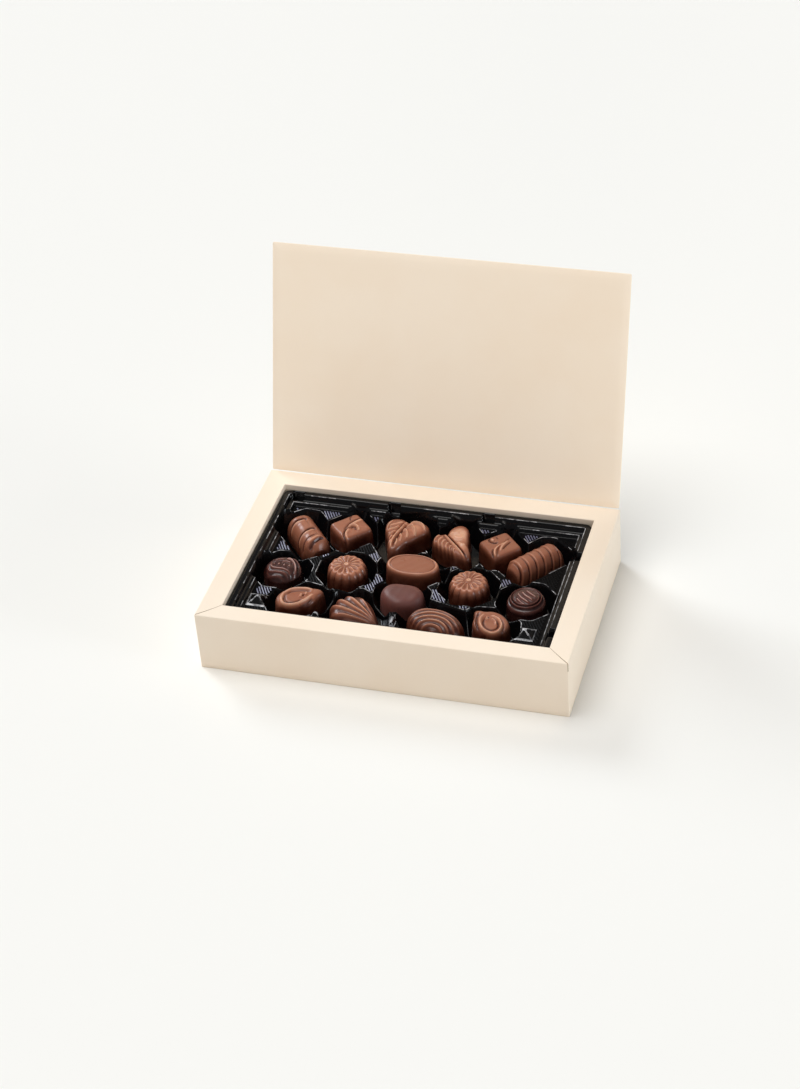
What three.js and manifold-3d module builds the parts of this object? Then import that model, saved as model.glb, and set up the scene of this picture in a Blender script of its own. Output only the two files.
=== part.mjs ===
// An open folding-card box: a flat frame round its opening, a lid hinged along the back edge, a black
// moulded tray, and sixteen moulded chocolates in the tray's pockets.
// Millimetres, +Z up. The origin is the middle of the box's underside, +X runs along the hinge and the
// front is towards -Y.
import * as THREE from "three";
import { mergeVertices } from "three/addons/utils/BufferGeometryUtils.js";
import Module from "manifold-3d";

const wasm = await Module();
wasm.setup();

// Driving dimensions
const gap = 0.3; // left between pieces that touch
const cutRoom = 1; // how far a cutting solid stands past the face that it opens
const box = { width: 230, depth: 151, height: 41, floor: 1.2 };
const frame = { side: 13.8, front: 12.5, back: 14 }; // width of the flat frame round the opening
const seam = { width: 0.5, depth: 0.4 }; // mitred joint across the frame at each front corner
const lid = { length: 151, inset: 1, thickness: 1, openAngle: 107 };
const tray = {
  rimHeight: 37.7,
  rimWidth: 4.2,
  cornerRadius: 5,
  ledgeHeight: 34,
  ledgeWidth: 2.4,
  stepSlope: 1,
  landHeight: 31.5,
  landSlope: 1.2,
  pocketFloor: 20,
  pocketFlare: 4.4, // how far a pocket's rim stands out from its floor, on each side
  pocketPlay: 0.7, // room round a chocolate at the pocket's floor
};
const notch = { width: 6.5, depth: 2.6, height: 8, backPlaces: [-91, -27, 34.5], sidePlaces: [28, -46] };
const post = { width: 6, depth: 5, height: 2.6, taper: 0.55, places: [-83.5, -44, -0.5, 43.5] };
const chocolateBase = tray.pocketFloor + gap;

const upAxis = new THREE.Vector3(0, 0, 1);

const opening = {
  left: -box.width / 2 + frame.side,
  right: box.width / 2 - frame.side,
  front: -box.depth / 2 + frame.front,
  back: box.depth / 2 - frame.back,
};

// Colours and finishes
const finish = {
  card: new THREE.MeshStandardMaterial({ color: "#f6e6d0", roughness: 0.85, metalness: 0 }),
  plastic: new THREE.MeshStandardMaterial({ color: "#0c0b0e", roughness: 0.25, metalness: 0 }),
  milk: new THREE.MeshStandardMaterial({ color: "#8a5238", roughness: 0.42, metalness: 0 }),
  dark: new THREE.MeshStandardMaterial({ color: "#4c2c26", roughness: 0.4, metalness: 0 }),
};

// Solids

// A closed skin through rings of points, each counterclockwise seen from the side of the last ring
function loft(rings) {
  const count = rings[0].length;
  const positions = [];
  const addTriangle = (...corners) => corners.forEach((p) => positions.push(p.x, p.y, p.z));
  const middleOf = (ring) =>
    ring.reduce((sum, p) => sum.add(p), new THREE.Vector3()).divideScalar(count);
  const first = rings[0];
  const last = rings[rings.length - 1];
  const firstMiddle = middleOf(first);
  const lastMiddle = middleOf(last);
  for (let i = 0; i < count; i += 1) {
    const next = (i + 1) % count;
    addTriangle(firstMiddle, first[next], first[i]);
    addTriangle(lastMiddle, last[i], last[next]);
    for (let level = 0; level + 1 < rings.length; level += 1) {
      const lower = rings[level];
      const upper = rings[level + 1];
      addTriangle(lower[i], lower[next], upper[next]);
      addTriangle(lower[i], upper[next], upper[i]);
    }
  }
  const geometry = new THREE.BufferGeometry();
  geometry.setAttribute("position", new THREE.Float32BufferAttribute(positions, 3));
  return mergeVertices(geometry);
}

function toSolid(geometry) {
  const bare = geometry.clone();
  bare.deleteAttribute("normal");
  bare.deleteAttribute("uv");
  const merged = mergeVertices(bare);
  const vertProperties = new Float32Array(merged.attributes.position.array);
  const triVerts = new Uint32Array(merged.index.array);
  return new wasm.Manifold(new wasm.Mesh({ numProp: 3, vertProperties, triVerts }));
}

function toGeometry(solid) {
  const { vertProperties, triVerts } = solid.getMesh();
  const geometry = new THREE.BufferGeometry();
  geometry.setAttribute("position", new THREE.BufferAttribute(new Float32Array(vertProperties), 3));
  geometry.setIndex(new THREE.BufferAttribute(new Uint32Array(triVerts), 1));
  return geometry;
}

function block(low, high) {
  const size = high.map((value, axis) => value - low[axis]);
  const centre = high.map((value, axis) => (value + low[axis]) / 2);
  return new THREE.BoxGeometry(...size).translate(...centre);
}

// Card box

function cartonBase() {
  const { width, depth, height, floor } = box;
  const body = toSolid(block([-width / 2, -depth / 2, 0], [width / 2, depth / 2, height]));
  const well = block([opening.left, opening.front, floor], [opening.right, opening.back, height + cutRoom]);
  let carton = body.subtract(toSolid(well));
  for (const side of [-1, 1]) {
    const outer = new THREE.Vector2((side * width) / 2, -depth / 2);
    const inner = new THREE.Vector2(side === 1 ? opening.right : opening.left, opening.front);
    const run = inner.clone().sub(outer);
    const centre = outer.clone().addScaledVector(run, 0.5);
    const groove = new THREE.BoxGeometry(run.length() + 2 * cutRoom, seam.width, seam.depth * 2)
      .rotateZ(run.angle())
      .translate(centre.x, centre.y, height);
    carton = carton.subtract(toSolid(groove));
  }
  return toGeometry(carton);
}

// The lid panel in its closed place, with the hinge line along the X axis
function lidPanel() {
  const halfWidth = box.width / 2 - lid.inset;
  return block([-halfWidth, -lid.length, gap], [halfWidth, -gap, gap + lid.thickness]);
}

// Tray

function roundedRectangle({ left, right, front, back, radius }, z) {
  const stepsPerCorner = 4;
  const corners = [
    [right - radius, front + radius, -Math.PI / 2],
    [right - radius, back - radius, 0],
    [left + radius, back - radius, Math.PI / 2],
    [left + radius, front + radius, Math.PI],
  ];
  return corners.flatMap(([x, y, start]) =>
    Array.from({ length: stepsPerCorner + 1 }, (_, step) => {
      const angle = start + (step / stepsPerCorner) * (Math.PI / 2);
      return new THREE.Vector3(x + radius * Math.cos(angle), y + radius * Math.sin(angle), z);
    }),
  );
}

function trayOutline(inset, z) {
  const edge = gap + inset;
  return roundedRectangle(
    {
      left: opening.left + edge,
      right: opening.right - edge,
      front: opening.front + edge,
      back: opening.back - edge,
      radius: Math.max(tray.cornerRadius - inset / 2, 1),
    },
    z,
  );
}

// Eight straight sides round a chocolate, each standing the given play outside it
function pocketOutline({ x, y, turn, shape }, play, z) {
  const sides = 8;
  const points = shape.attributes.position;
  const normals = Array.from({ length: sides }, (_, i) => (2 * Math.PI * i) / sides);
  const reaches = normals.map((angle) => {
    let reach = 0;
    for (let i = 0; i < points.count; i += 1) {
      reach = Math.max(reach, points.getX(i) * Math.cos(angle) + points.getY(i) * Math.sin(angle));
    }
    return reach + play;
  });
  return normals.map((angle, i) => {
    const near = reaches[i];
    const far = reaches[(i + 1) % sides];
    const step = (2 * Math.PI) / sides;
    const along = (far - near * Math.cos(step)) / Math.sin(step);
    return new THREE.Vector3(near, along, 0)
      .applyAxisAngle(upAxis, angle + THREE.MathUtils.degToRad(turn))
      .add(new THREE.Vector3(x, y, z));
  });
}

function trayPocket(piece) {
  const top = tray.ledgeHeight + gap;
  const slope = tray.pocketFlare / (tray.landHeight - tray.pocketFloor);
  const topPlay = tray.pocketPlay + slope * (top - tray.pocketFloor);
  const low = pocketOutline(piece, tray.pocketPlay, tray.pocketFloor);
  return toSolid(loft([low, pocketOutline(piece, topPlay, top)]));
}

function trayNotches() {
  const { width, depth, height } = notch;
  const rimEdge = gap + tray.rimWidth;
  const low = tray.rimHeight + cutRoom - height;
  const high = tray.rimHeight + cutRoom;
  const back = opening.back - rimEdge;
  const backBlocks = notch.backPlaces.map((x) =>
    block([x - width / 2, back - tray.stepSlope, low], [x + width / 2, back + depth, high]),
  );
  const right = opening.right - rimEdge;
  const sideBlocks = notch.sidePlaces.map((y) =>
    block([right - tray.stepSlope, y - width / 2, low], [right + depth, y + width / 2, high]),
  );
  return [...backBlocks, ...sideBlocks].map(toSolid);
}

// Small raised blocks on the land along the front wall, between the pockets
function trayPosts() {
  const { width, depth, height, taper } = post;
  const edge = gap + tray.rimWidth + tray.stepSlope + tray.ledgeWidth + tray.landSlope;
  const y = opening.front + edge + depth / 2;
  const outline = (x, scale, z) =>
    [[1, -1], [1, 1], [-1, 1], [-1, -1]].map(
      ([u, v]) => new THREE.Vector3(x + (u * scale * width) / 2, y + (v * scale * depth) / 2, z),
    );
  return post.places.map((x) =>
    toSolid(loft([outline(x, 1, tray.landHeight - cutRoom), outline(x, taper, tray.landHeight + height)])),
  );
}

function trayInsert(pieces) {
  const stepInset = tray.rimWidth + tray.stepSlope;
  const ledgeInset = stepInset + tray.ledgeWidth;
  const landInset = ledgeInset + tray.landSlope;
  const body = toSolid(loft([trayOutline(0, box.floor + gap), trayOutline(0, tray.rimHeight)]));
  const well = toSolid(
    loft([
      trayOutline(landInset, tray.landHeight),
      trayOutline(ledgeInset, tray.ledgeHeight),
      trayOutline(stepInset, tray.ledgeHeight),
      trayOutline(tray.rimWidth, tray.rimHeight),
      trayOutline(tray.rimWidth, tray.rimHeight + cutRoom),
    ]),
  );
  let insert = body.subtract(well);
  for (const solid of trayPosts()) insert = insert.add(solid);
  for (const solid of pieces.map(trayPocket)) insert = insert.subtract(solid);
  for (const solid of trayNotches()) insert = insert.subtract(solid);
  return toGeometry(insert);
}

// Chocolates. Each is made about its own middle, with its base at z = 0 and its long way along X. In a
// relief, sink is how far the bare top lies below the body's height.

const bump = (value, centre, width) => Math.exp(-(((value - centre) / width) ** 2));
const wave = (value, spacing) => Math.cos((2 * Math.PI * value) / spacing);
const wrap = (angle) => Math.atan2(Math.sin(angle), Math.cos(angle));

const superellipse = (a, b, power) => (angle) =>
  (Math.abs(Math.cos(angle) / a) ** power + Math.abs(Math.sin(angle) / b) ** power) ** (-1 / power);

// A body cast in a mould. radius(angle) is its outline at the base. square sets how flat its top is and
// how steep its side: 2 is a dome, 8 is nearly a block. taper is how much smaller it is at the top.
// relief(x, y, share) is added to the top, where share runs from 0 in the middle to 1 at the outline.
function castBody({ radius, height, taper, square, spokes, topRings, sideRings, relief }) {
  const turnShare = 2 ** (-1 / square);
  const sideLevels = Array.from({ length: sideRings }, (_, i) => (turnShare * i) / sideRings);
  const levels = [
    ...sideLevels.map((level) => [(1 - level ** square) ** (1 / square), level]),
    ...Array.from({ length: topRings }, (_, i) => {
      const share = (turnShare * (topRings - i)) / topRings;
      return [share, (1 - share ** square) ** (1 / square)];
    }),
  ];
  const rings = levels.map(([share, level]) =>
    Array.from({ length: spokes }, (_, i) => {
      const angle = (2 * Math.PI * i) / spokes;
      const reach = radius(angle) * share * (1 - taper * level);
      const x = reach * Math.cos(angle);
      const y = reach * Math.sin(angle);
      const z = level * height + relief(x, y, share) * level ** 4;
      return new THREE.Vector3(x, y, z);
    }),
  );
  return loft(rings);
}

// A bar with an arched section and chamfered ends. groove(x, y) gives the depth cut into its skin.
function castBar({ length, width, height, chamfer, endShare, square, stations, sectionSteps, groove }) {
  const halfLength = length / 2;
  const middleStations = Array.from(
    { length: stations + 1 },
    (_, i) => (halfLength - chamfer) * ((2 * i) / stations - 1),
  );
  const places = [-halfLength, ...middleStations, halfLength];
  const rings = places.map((x) => {
    const share = Math.abs(x) > halfLength - chamfer ? endShare : 1;
    return Array.from({ length: sectionSteps + 1 }, (_, i) => {
      const angle = (Math.PI * i) / sectionSteps;
      const across = Math.sign(Math.cos(angle)) * Math.abs(Math.cos(angle)) ** (2 / square);
      const up = Math.max(Math.sin(angle), 0) ** (2 / square);
      const y = (share * across * width) / 2;
      const shrink = 1 - (groove(x, y) * up) / height;
      return new THREE.Vector3(x, y * shrink, share * up * height * shrink);
    });
  });
  return loft(rings);
}

// Grooves of the given depth that run across a bar, each leaning over by slant times its way across
const crossGrooves = ({ depth, spacing, slant, sharpness, start }) => (x, y) =>
  depth * (0.5 + 0.5 * wave(x - start - slant * y, spacing)) ** sharpness;

const twistedBar = () =>
  castBar({
    length: 37,
    width: 19.4,
    height: 15.6,
    chamfer: 4,
    endShare: 0.74,
    square: 2.4,
    stations: 18,
    sectionSteps: 9,
    groove: crossGrooves({ depth: 1.1, spacing: 9, slant: 0.5, sharpness: 3, start: 4.5 }),
  });

const linedBar = () =>
  castBar({
    length: 36,
    width: 18.6,
    height: 16,
    chamfer: 3,
    endShare: 0.82,
    square: 2.5,
    stations: 20,
    sectionSteps: 9,
    groove: crossGrooves({ depth: 0.6, spacing: 5.8, slant: 0, sharpness: 4, start: 0 }),
  });

// Flat-topped block with a raised, curling ribbon from corner to corner and a small ring beside it
const curledSquare = ({ side, height, ribbonBend, hook }) => {
  const cornerPower = 9;
  const ribbon = { rise: 0.8, width: 1.3, bendRun: 3.2 };
  const ring = { rise: 0.7, width: 1 };
  const sink = 0.9;
  return castBody({
    radius: superellipse(side / 2, side / 2, cornerPower),
    height,
    taper: 0.08,
    square: 10,
    spokes: 32,
    topRings: 6,
    sideRings: 3,
    relief: (x, y) => {
      const along = (x + y) * Math.SQRT1_2;
      const across = (y - x) * Math.SQRT1_2;
      const ribbonLine = ribbonBend * Math.sin(along / ribbon.bendRun);
      const fromHook = Math.hypot(along - hook.along, across - hook.across);
      const ribbonRise = ribbon.rise * bump(across, ribbonLine, ribbon.width);
      return ribbonRise + ring.rise * bump(fromHook, hook.radius, ring.width) - sink;
    },
  });
};

// Heart-shaped leaf with its tip towards +X, a notch at its stem, a midrib and slanting side veins
const leaf = ({ body, tip, tipWidth, lobes, lobeAngle, notchDepth, height, veinSpacing }) => {
  const lobeWidth = 0.55;
  const notchWidth = 0.28;
  const puff = { rise: 1.4, middle: 5, width: 5 }; // the swelling of each lobe
  const midrib = { depth: 1.2, width: 1.4 };
  const vein = { rise: 0.5, slant: 0.9, start: 3 };
  const sink = 1.1;
  return castBody({
    radius: (angle) =>
      body +
      tip * bump(wrap(angle), 0, tipWidth) +
      lobes[0] * bump(wrap(angle), lobeAngle, lobeWidth) +
      lobes[1] * bump(wrap(angle), -lobeAngle, lobeWidth) -
      notchDepth * bump(Math.abs(wrap(angle)), Math.PI, notchWidth),
    height,
    taper: 0.08,
    square: 7,
    spokes: 40,
    topRings: 6,
    sideRings: 3,
    relief: (x, y) => {
      const side = Math.abs(y);
      const veinWave = wave(x + vein.slant * side, veinSpacing) * Math.min(side / vein.start, 1);
      const lobeRise = puff.rise * bump(side, puff.middle, puff.width);
      return lobeRise - midrib.depth * bump(side, 0, midrib.width) + vein.rise * veinWave - sink;
    },
  });
};

// Fluted round with petals that meet at a dimple
const flower = ({ radius, height, petals }) => {
  const fluteShare = 0.07; // how far the side is drawn in between two petals, as a share of the radius
  const groove = { depth: 1.3, fullShare: 0.5 };
  const swell = { rise: 0.6, share: 0.45, width: 0.25 };
  const dimple = { depth: 1.4, width: 0.22 };
  const petalEdge = (angle) => 1 - Math.abs(Math.cos((petals * angle) / 2));
  return castBody({
    radius: (angle) => radius * (1 - fluteShare * petalEdge(angle)),
    height,
    taper: 0.08,
    square: 5.5,
    spokes: petals * 4,
    topRings: 4,
    sideRings: 3,
    relief: (x, y, share) => {
      const grooveDepth = groove.depth * petalEdge(Math.atan2(y, x)) * Math.min(share / groove.fullShare, 1);
      const ringRise = swell.rise * bump(share, swell.share, swell.width);
      return ringRise - dimple.depth * bump(share, 0, dimple.width) - grooveDepth;
    },
  });
};

// Round with curved ridges, as if combed, inside a shallow ring
const combedRound = () => {
  const comb = { rise: 0.45, spacing: 4, bend: 0.04 };
  const ring = { depth: 0.5, share: 0.72, width: 0.07 };
  return castBody({
    radius: () => 12.7,
    height: 15.6,
    taper: 0.05,
    square: 3.6,
    spokes: 36,
    topRings: 7,
    sideRings: 3,
    relief: (x, y, share) => {
      const combed = share < ring.share ? comb.rise * wave(y + comb.bend * x * x, comb.spacing) : 0;
      return combed - ring.depth * bump(share, ring.share, ring.width);
    },
  });
};

const ringedRound = () => {
  const ring = { rise: 0.5, spacing: 0.24 }; // the spacing is a share of the radius
  return castBody({
    radius: () => 12.5,
    height: 15.6,
    taper: 0.05,
    square: 3.6,
    spokes: 32,
    topRings: 8,
    sideRings: 3,
    relief: (x, y, share) => ring.rise * wave(share, ring.spacing),
  });
};

// Straight-sided oval with a flat top sunk inside a thin rim
const rimmedOval = () => {
  const recess = { share: 0.8, depth: 0.5 };
  return castBody({
    radius: superellipse(17.7, 10.8, 2.1),
    height: 15.2,
    taper: 0.08,
    square: 16,
    spokes: 36,
    topRings: 6,
    sideRings: 3,
    relief: (x, y, share) => (share < recess.share ? -recess.depth : 0),
  });
};

// Smooth three-cornered dome with its blunt point towards +X
const pebble = () => {
  const point = { reach: 1.6, width: 0.6 };
  const corners = { reach: 0.9, count: 3 };
  return castBody({
    radius: (angle) =>
      12.8 +
      point.reach * bump(wrap(angle), 0, point.width) +
      corners.reach * Math.cos(corners.count * angle),
    height: 15,
    taper: 0.08,
    square: 3.6,
    spokes: 30,
    topRings: 5,
    sideRings: 3,
    relief: () => 0,
  });
};

// Drop shape, pointed towards +X, with a raised loop that follows its edge and rolls in
const loopedDrop = ({ length, width, height, point }) => {
  const outline = superellipse(length / 2, width / 2, 2.3);
  const pointWidth = 0.3;
  const loop = { rise: 0.9, share: 0.66, rollIn: 0.14, width: 0.11 };
  const sink = 0.5;
  return castBody({
    radius: (angle) => outline(angle) + point * bump(wrap(angle), 0, pointWidth),
    height,
    taper: 0.08,
    square: 7,
    spokes: 36,
    topRings: 6,
    sideRings: 3,
    relief: (x, y, share) => {
      const turns = Math.atan2(y, x) / (2 * Math.PI);
      return loop.rise * bump(share, loop.share + loop.rollIn * turns, loop.width) - sink;
    },
  });
};

// Scallop shell with its hinge at +X and ribs fanning out to a scalloped edge at -X
const fanShell = ({ hingeReach, edgeReach, halfWidth, ribs, ribSpread, height }) => {
  const ribPhase = (x, y) => (2 * Math.PI * ribs * Math.atan2(y, hingeReach - x)) / ribSpread;
  const hingeSide = superellipse(hingeReach, halfWidth, 1.25);
  const edgeSide = superellipse(edgeReach, halfWidth, 2.4);
  const scallopShare = 0.045;
  const rib = { rise: 0.8, fadeRun: 12 }; // ribs fade over this run towards the hinge
  return castBody({
    radius: (angle) => {
      const bare = Math.cos(angle) > 0 ? hingeSide(angle) : edgeSide(angle);
      const phase = ribPhase(bare * Math.cos(angle), bare * Math.sin(angle));
      return bare * (1 + scallopShare * Math.max(-Math.cos(angle), 0) * Math.cos(phase));
    },
    height,
    taper: 0.05,
    square: 3.6,
    spokes: 42,
    topRings: 6,
    sideRings: 3,
    relief: (x, y) => rib.rise * Math.cos(ribPhase(x, y)) * Math.min((hingeReach - x) / rib.fadeRun, 1),
  });
};

// Rounded shell with ridges in arcs about a hinge at +X
const arcShell = ({ length, width, height, hinge, ridgeRise, ridgeSpacing }) =>
  castBody({
    radius: superellipse(length / 2, width / 2, 2.2),
    height,
    taper: 0.05,
    square: 3.4,
    spokes: 38,
    topRings: 8,
    sideRings: 3,
    relief: (x, y) => ridgeRise * wave(Math.hypot(x - hinge, y), ridgeSpacing),
  });

// Where each chocolate lies, which way its long side or its tip points, and what it is cast in
const chocolates = [
  {
    name: "bar_twisted",
    x: -75.4,
    y: 26.8,
    turn: -50,
    shape: twistedBar(),
    material: finish.milk,
  },
  {
    name: "square_hooked",
    x: -49.2,
    y: 34,
    turn: 45,
    shape: curledSquare({
      side: 22.4,
      height: 15.6,
      ribbonBend: 2,
      hook: { along: -2, across: -3, radius: 3 },
    }),
    material: finish.milk,
  },
  {
    name: "leaf_wide",
    x: -15.8,
    y: 36.8,
    turn: -98,
    shape: leaf({
      body: 11.2,
      tip: 10,
      tipWidth: 0.36,
      lobes: [7, 5.2],
      lobeAngle: 2.2,
      notchDepth: 2.2,
      height: 15.6,
      veinSpacing: 5.2,
    }),
    material: finish.milk,
  },
  {
    name: "leaf_narrow",
    x: 18.2,
    y: 32.5,
    turn: -49,
    shape: leaf({
      body: 10.3,
      tip: 10,
      tipWidth: 0.4,
      lobes: [9.4, 4.6],
      lobeAngle: 2.35,
      notchDepth: 2,
      height: 15.6,
      veinSpacing: 5,
    }),
    material: finish.milk,
  },
  {
    name: "square_flamed",
    x: 47.8,
    y: 33.6,
    turn: 43,
    shape: curledSquare({
      side: 22.2,
      height: 15.6,
      ribbonBend: 2.6,
      hook: { along: 3, across: 4, radius: 2.4 },
    }),
    material: finish.milk,
  },
  {
    name: "bar_lined",
    x: 70.8,
    y: 26.6,
    turn: 50,
    shape: linedBar(),
    material: finish.milk,
  },
  {
    name: "round_combed",
    x: -80.2,
    y: -11.4,
    turn: 0,
    shape: combedRound(),
    material: finish.dark,
  },
  {
    name: "flower_left",
    x: -40.4,
    y: -4.8,
    turn: 0,
    shape: flower({ radius: 13.2, height: 15.8, petals: 14 }),
    material: finish.milk,
  },
  {
    name: "oval_rimmed",
    x: -0.8,
    y: 4.6,
    turn: 0,
    shape: rimmedOval(),
    material: finish.milk,
  },
  {
    name: "flower_right",
    x: 37.6,
    y: -5.6,
    turn: 8,
    shape: flower({ radius: 13.2, height: 15.8, petals: 14 }),
    material: finish.milk,
  },
  {
    name: "round_ringed",
    x: 75,
    y: -12.4,
    turn: 0,
    shape: ringedRound(),
    material: finish.dark,
  },
  {
    name: "drop_looped",
    x: -62.2,
    y: -39.4,
    turn: 33,
    shape: loopedDrop({ length: 28, width: 21, height: 15.4, point: 3.2 }),
    material: finish.milk,
  },
  {
    name: "shell_fan",
    x: -25.2,
    y: -41.8,
    turn: -30,
    shape: fanShell({
      hingeReach: 22,
      edgeReach: 15,
      halfWidth: 12.4,
      ribs: 7,
      ribSpread: 1.3,
      height: 14.6,
    }),
    material: finish.milk,
  },
  {
    name: "pebble_dark",
    x: -0.2,
    y: -24.4,
    turn: -88,
    shape: pebble(),
    material: finish.dark,
  },
  {
    name: "shell_arcs",
    x: 26.4,
    y: -42,
    turn: -105,
    shape: arcShell({
      length: 23,
      width: 37,
      height: 15,
      hinge: 12,
      ridgeRise: 0.55,
      ridgeSpacing: 3.3,
    }),
    material: finish.milk,
  },
  {
    name: "drop_curled",
    x: 60,
    y: -40.4,
    turn: 128,
    shape: loopedDrop({ length: 24.5, width: 22, height: 15.4, point: 3.6 }),
    material: finish.milk,
  },
];

// Assembly

function piece(name, geometry, material) {
  const mesh = new THREE.Mesh(geometry, material);
  mesh.name = name;
  return mesh;
}

const model = new THREE.Group();
model.add(piece("carton_base", cartonBase(), finish.card));

const hinge = new THREE.Group();
hinge.position.set(0, box.depth / 2, box.height);
hinge.rotation.x = -THREE.MathUtils.degToRad(lid.openAngle);
hinge.add(piece("carton_lid", lidPanel(), finish.card));
model.add(hinge);

model.add(piece("tray", trayInsert(chocolates), finish.plastic));

for (const { name, x, y, turn, shape, material } of chocolates) {
  const mesh = piece(name, shape, material);
  mesh.position.set(x, y, chocolateBase);
  mesh.rotation.z = THREE.MathUtils.degToRad(turn);
  model.add(mesh);
}

export default model;
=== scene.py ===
# An open folding-card box of sixteen moulded chocolates in a black formed tray, lid standing open.
# Sizes are in millimetres and are scaled to metres where a mesh is made. The origin is the middle of the
# box's underside, +X runs along the hinge and the front is towards -Y.
import math

import bpy
import numpy as np
from mathutils import Matrix, Vector


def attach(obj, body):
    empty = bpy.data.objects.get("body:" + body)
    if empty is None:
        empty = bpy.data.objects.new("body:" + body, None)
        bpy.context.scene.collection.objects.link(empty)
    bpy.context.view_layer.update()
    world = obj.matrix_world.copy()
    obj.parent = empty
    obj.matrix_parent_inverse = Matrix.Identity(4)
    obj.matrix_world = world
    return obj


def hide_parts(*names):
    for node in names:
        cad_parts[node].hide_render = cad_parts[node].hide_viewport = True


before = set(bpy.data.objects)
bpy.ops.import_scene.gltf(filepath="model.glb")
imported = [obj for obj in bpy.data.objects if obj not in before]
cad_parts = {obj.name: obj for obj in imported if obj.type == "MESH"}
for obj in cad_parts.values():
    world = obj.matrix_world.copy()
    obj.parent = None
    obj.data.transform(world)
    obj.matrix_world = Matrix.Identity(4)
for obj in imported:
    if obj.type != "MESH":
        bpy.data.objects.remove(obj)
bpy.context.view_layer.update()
print("frame loaded")

mm = 0.001


# Small tools

def linear(hexColour):
    channels = [int(hexColour[i:i + 2], 16) / 255 for i in (1, 3, 5)]
    return [c / 12.92 if c <= 0.04045 else ((c + 0.055) / 1.055) ** 2.4 for c in channels] + [1.0]


def addNode(tree, kind, settings=None, inputs=None):
    node = tree.nodes.new(kind)
    for key, value in (settings or {}).items():
        setattr(node, key, value)
    for key, value in (inputs or {}).items():
        if isinstance(value, bpy.types.NodeSocket):
            tree.links.new(value, node.inputs[key])
        else:
            node.inputs[key].default_value = value
    return node


def bump(value, centre, width):
    return np.exp(-(((value - centre) / width) ** 2))


def wrap(angle):
    return np.arctan2(np.sin(angle), np.cos(angle))


def superellipse(a, b, power):
    def radius(angle):
        return (abs(np.cos(angle) / a) ** power + abs(np.sin(angle) / b) ** power) ** (-1 / power)
    return radius


def addObject(name, data):
    piece = bpy.data.objects.new(name, data)
    bpy.context.scene.collection.objects.link(piece)
    return piece


def makeObject(name, points, faces, material=None, edges=()):
    mesh = bpy.data.meshes.new(name)
    mesh.from_pydata((np.asarray(points) * mm).tolist(), list(edges), faces)
    if material:
        mesh.materials.append(material)
    mesh.polygons.foreach_set("use_smooth", [True] * len(mesh.polygons))
    mesh.update()
    return addObject(name, mesh)


# A closed skin through rings of points, each counterclockwise seen from the side of the last ring
def skinRings(rings):
    levels, spokes = rings.shape[:2]
    i = np.arange(spokes)
    j = (i + 1) % spokes
    quads = [np.stack([i, j, j + spokes, i + spokes], 1) + level * spokes for level in range(levels - 1)]
    faces = np.concatenate(quads).tolist()
    first, last = levels * spokes, levels * spokes + 1
    top = (levels - 1) * spokes
    faces += np.stack([np.full(spokes, first), j, i], 1).tolist()
    faces += np.stack([np.full(spokes, last), top + i, top + j], 1).tolist()
    points = np.concatenate([rings.reshape(-1, 3), rings[:1].mean(1), rings[-1:].mean(1)])
    return points, faces


# The runs of true values in a row, as pairs of the first place and the one after the last
def trueRuns(kept):
    ends = np.flatnonzero(np.diff(np.concatenate([[0], kept.astype(int), [0]])))
    return zip(ends[::2], ends[1::2])


def smoothLine(points, stepsPerSpan=6):
    p = np.array(points, dtype=float)
    p = np.concatenate([2 * p[:1] - p[1:2], p, 2 * p[-1:] - p[-2:-1]])
    t = np.linspace(0, 1, stepsPerSpan, endpoint=False)[:, None]
    spans = []
    for a, b, c, d in zip(p, p[1:], p[2:], p[3:]):
        squared = 2 * a - 5 * b + 4 * c - d
        spans.append(0.5 * (2 * b + (c - a) * t + squared * t**2 + (3 * b - a - 3 * c + d) * t**3))
    return np.concatenate(spans + [p[-2:-1]])


# A rounded ridge along a line, or a groove where rise is negative. It fades out over a share of its length.
def ridge(x, y, rise, width, points, fade=0.16):
    line = smoothLine(points)
    runs = np.diff(line, axis=0)
    lengths = np.hypot(runs[:, 0], runs[:, 1])
    nearest = np.full(x.shape, 1e6)
    along = np.zeros(x.shape)
    passed = 0.0
    for (px, py), (rx, ry), length in zip(line, runs, lengths):
        t = np.clip(((x - px) * rx + (y - py) * ry) / length**2, 0, 1)
        distance = np.hypot(x - px - t * rx, y - py - t * ry)
        closer = distance < nearest
        nearest = np.where(closer, distance, nearest)
        along = np.where(closer, passed + t * length, along)
        passed += length
    ends = np.clip(np.minimum(along, passed - along) / (fade * passed), 0.0, 1.0)
    return rise * np.sqrt(ends) * bump(nearest, 0, width)


# How crisp a mould's engraving comes out: crests and grooves are scaled by (rise, width)
engraving = {"crest": (1.75, 0.7), "groove": (1.1, 0.92)}


def ridges(x, y, lines):
    total = np.zeros(x.shape)
    for rise, width, points in lines:
        riseScale, widthScale = engraving["crest" if rise > 0 else "groove"]
        total = total + ridge(x, y, rise * riseScale, width * widthScale, points)
    return total


# Slow, shallow swells of a skin that cooled in its mould
def unevenness(x, y, seed, height=0.07):
    dice = np.random.default_rng(seed)
    total = np.zeros(x.shape)
    for spacing in (5.0, 7.0, 9.5, 13.0):
        heading = dice.uniform(0, 2 * math.pi)
        start = dice.uniform(0, 2 * math.pi)
        along = x * np.cos(heading) + y * np.sin(heading)
        total = total + np.sin(along * 2 * math.pi / spacing + start)
    return height * total / 2


# Materials

rangeEnds = ("From Min", "From Max", "To Min", "To Max")


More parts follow.
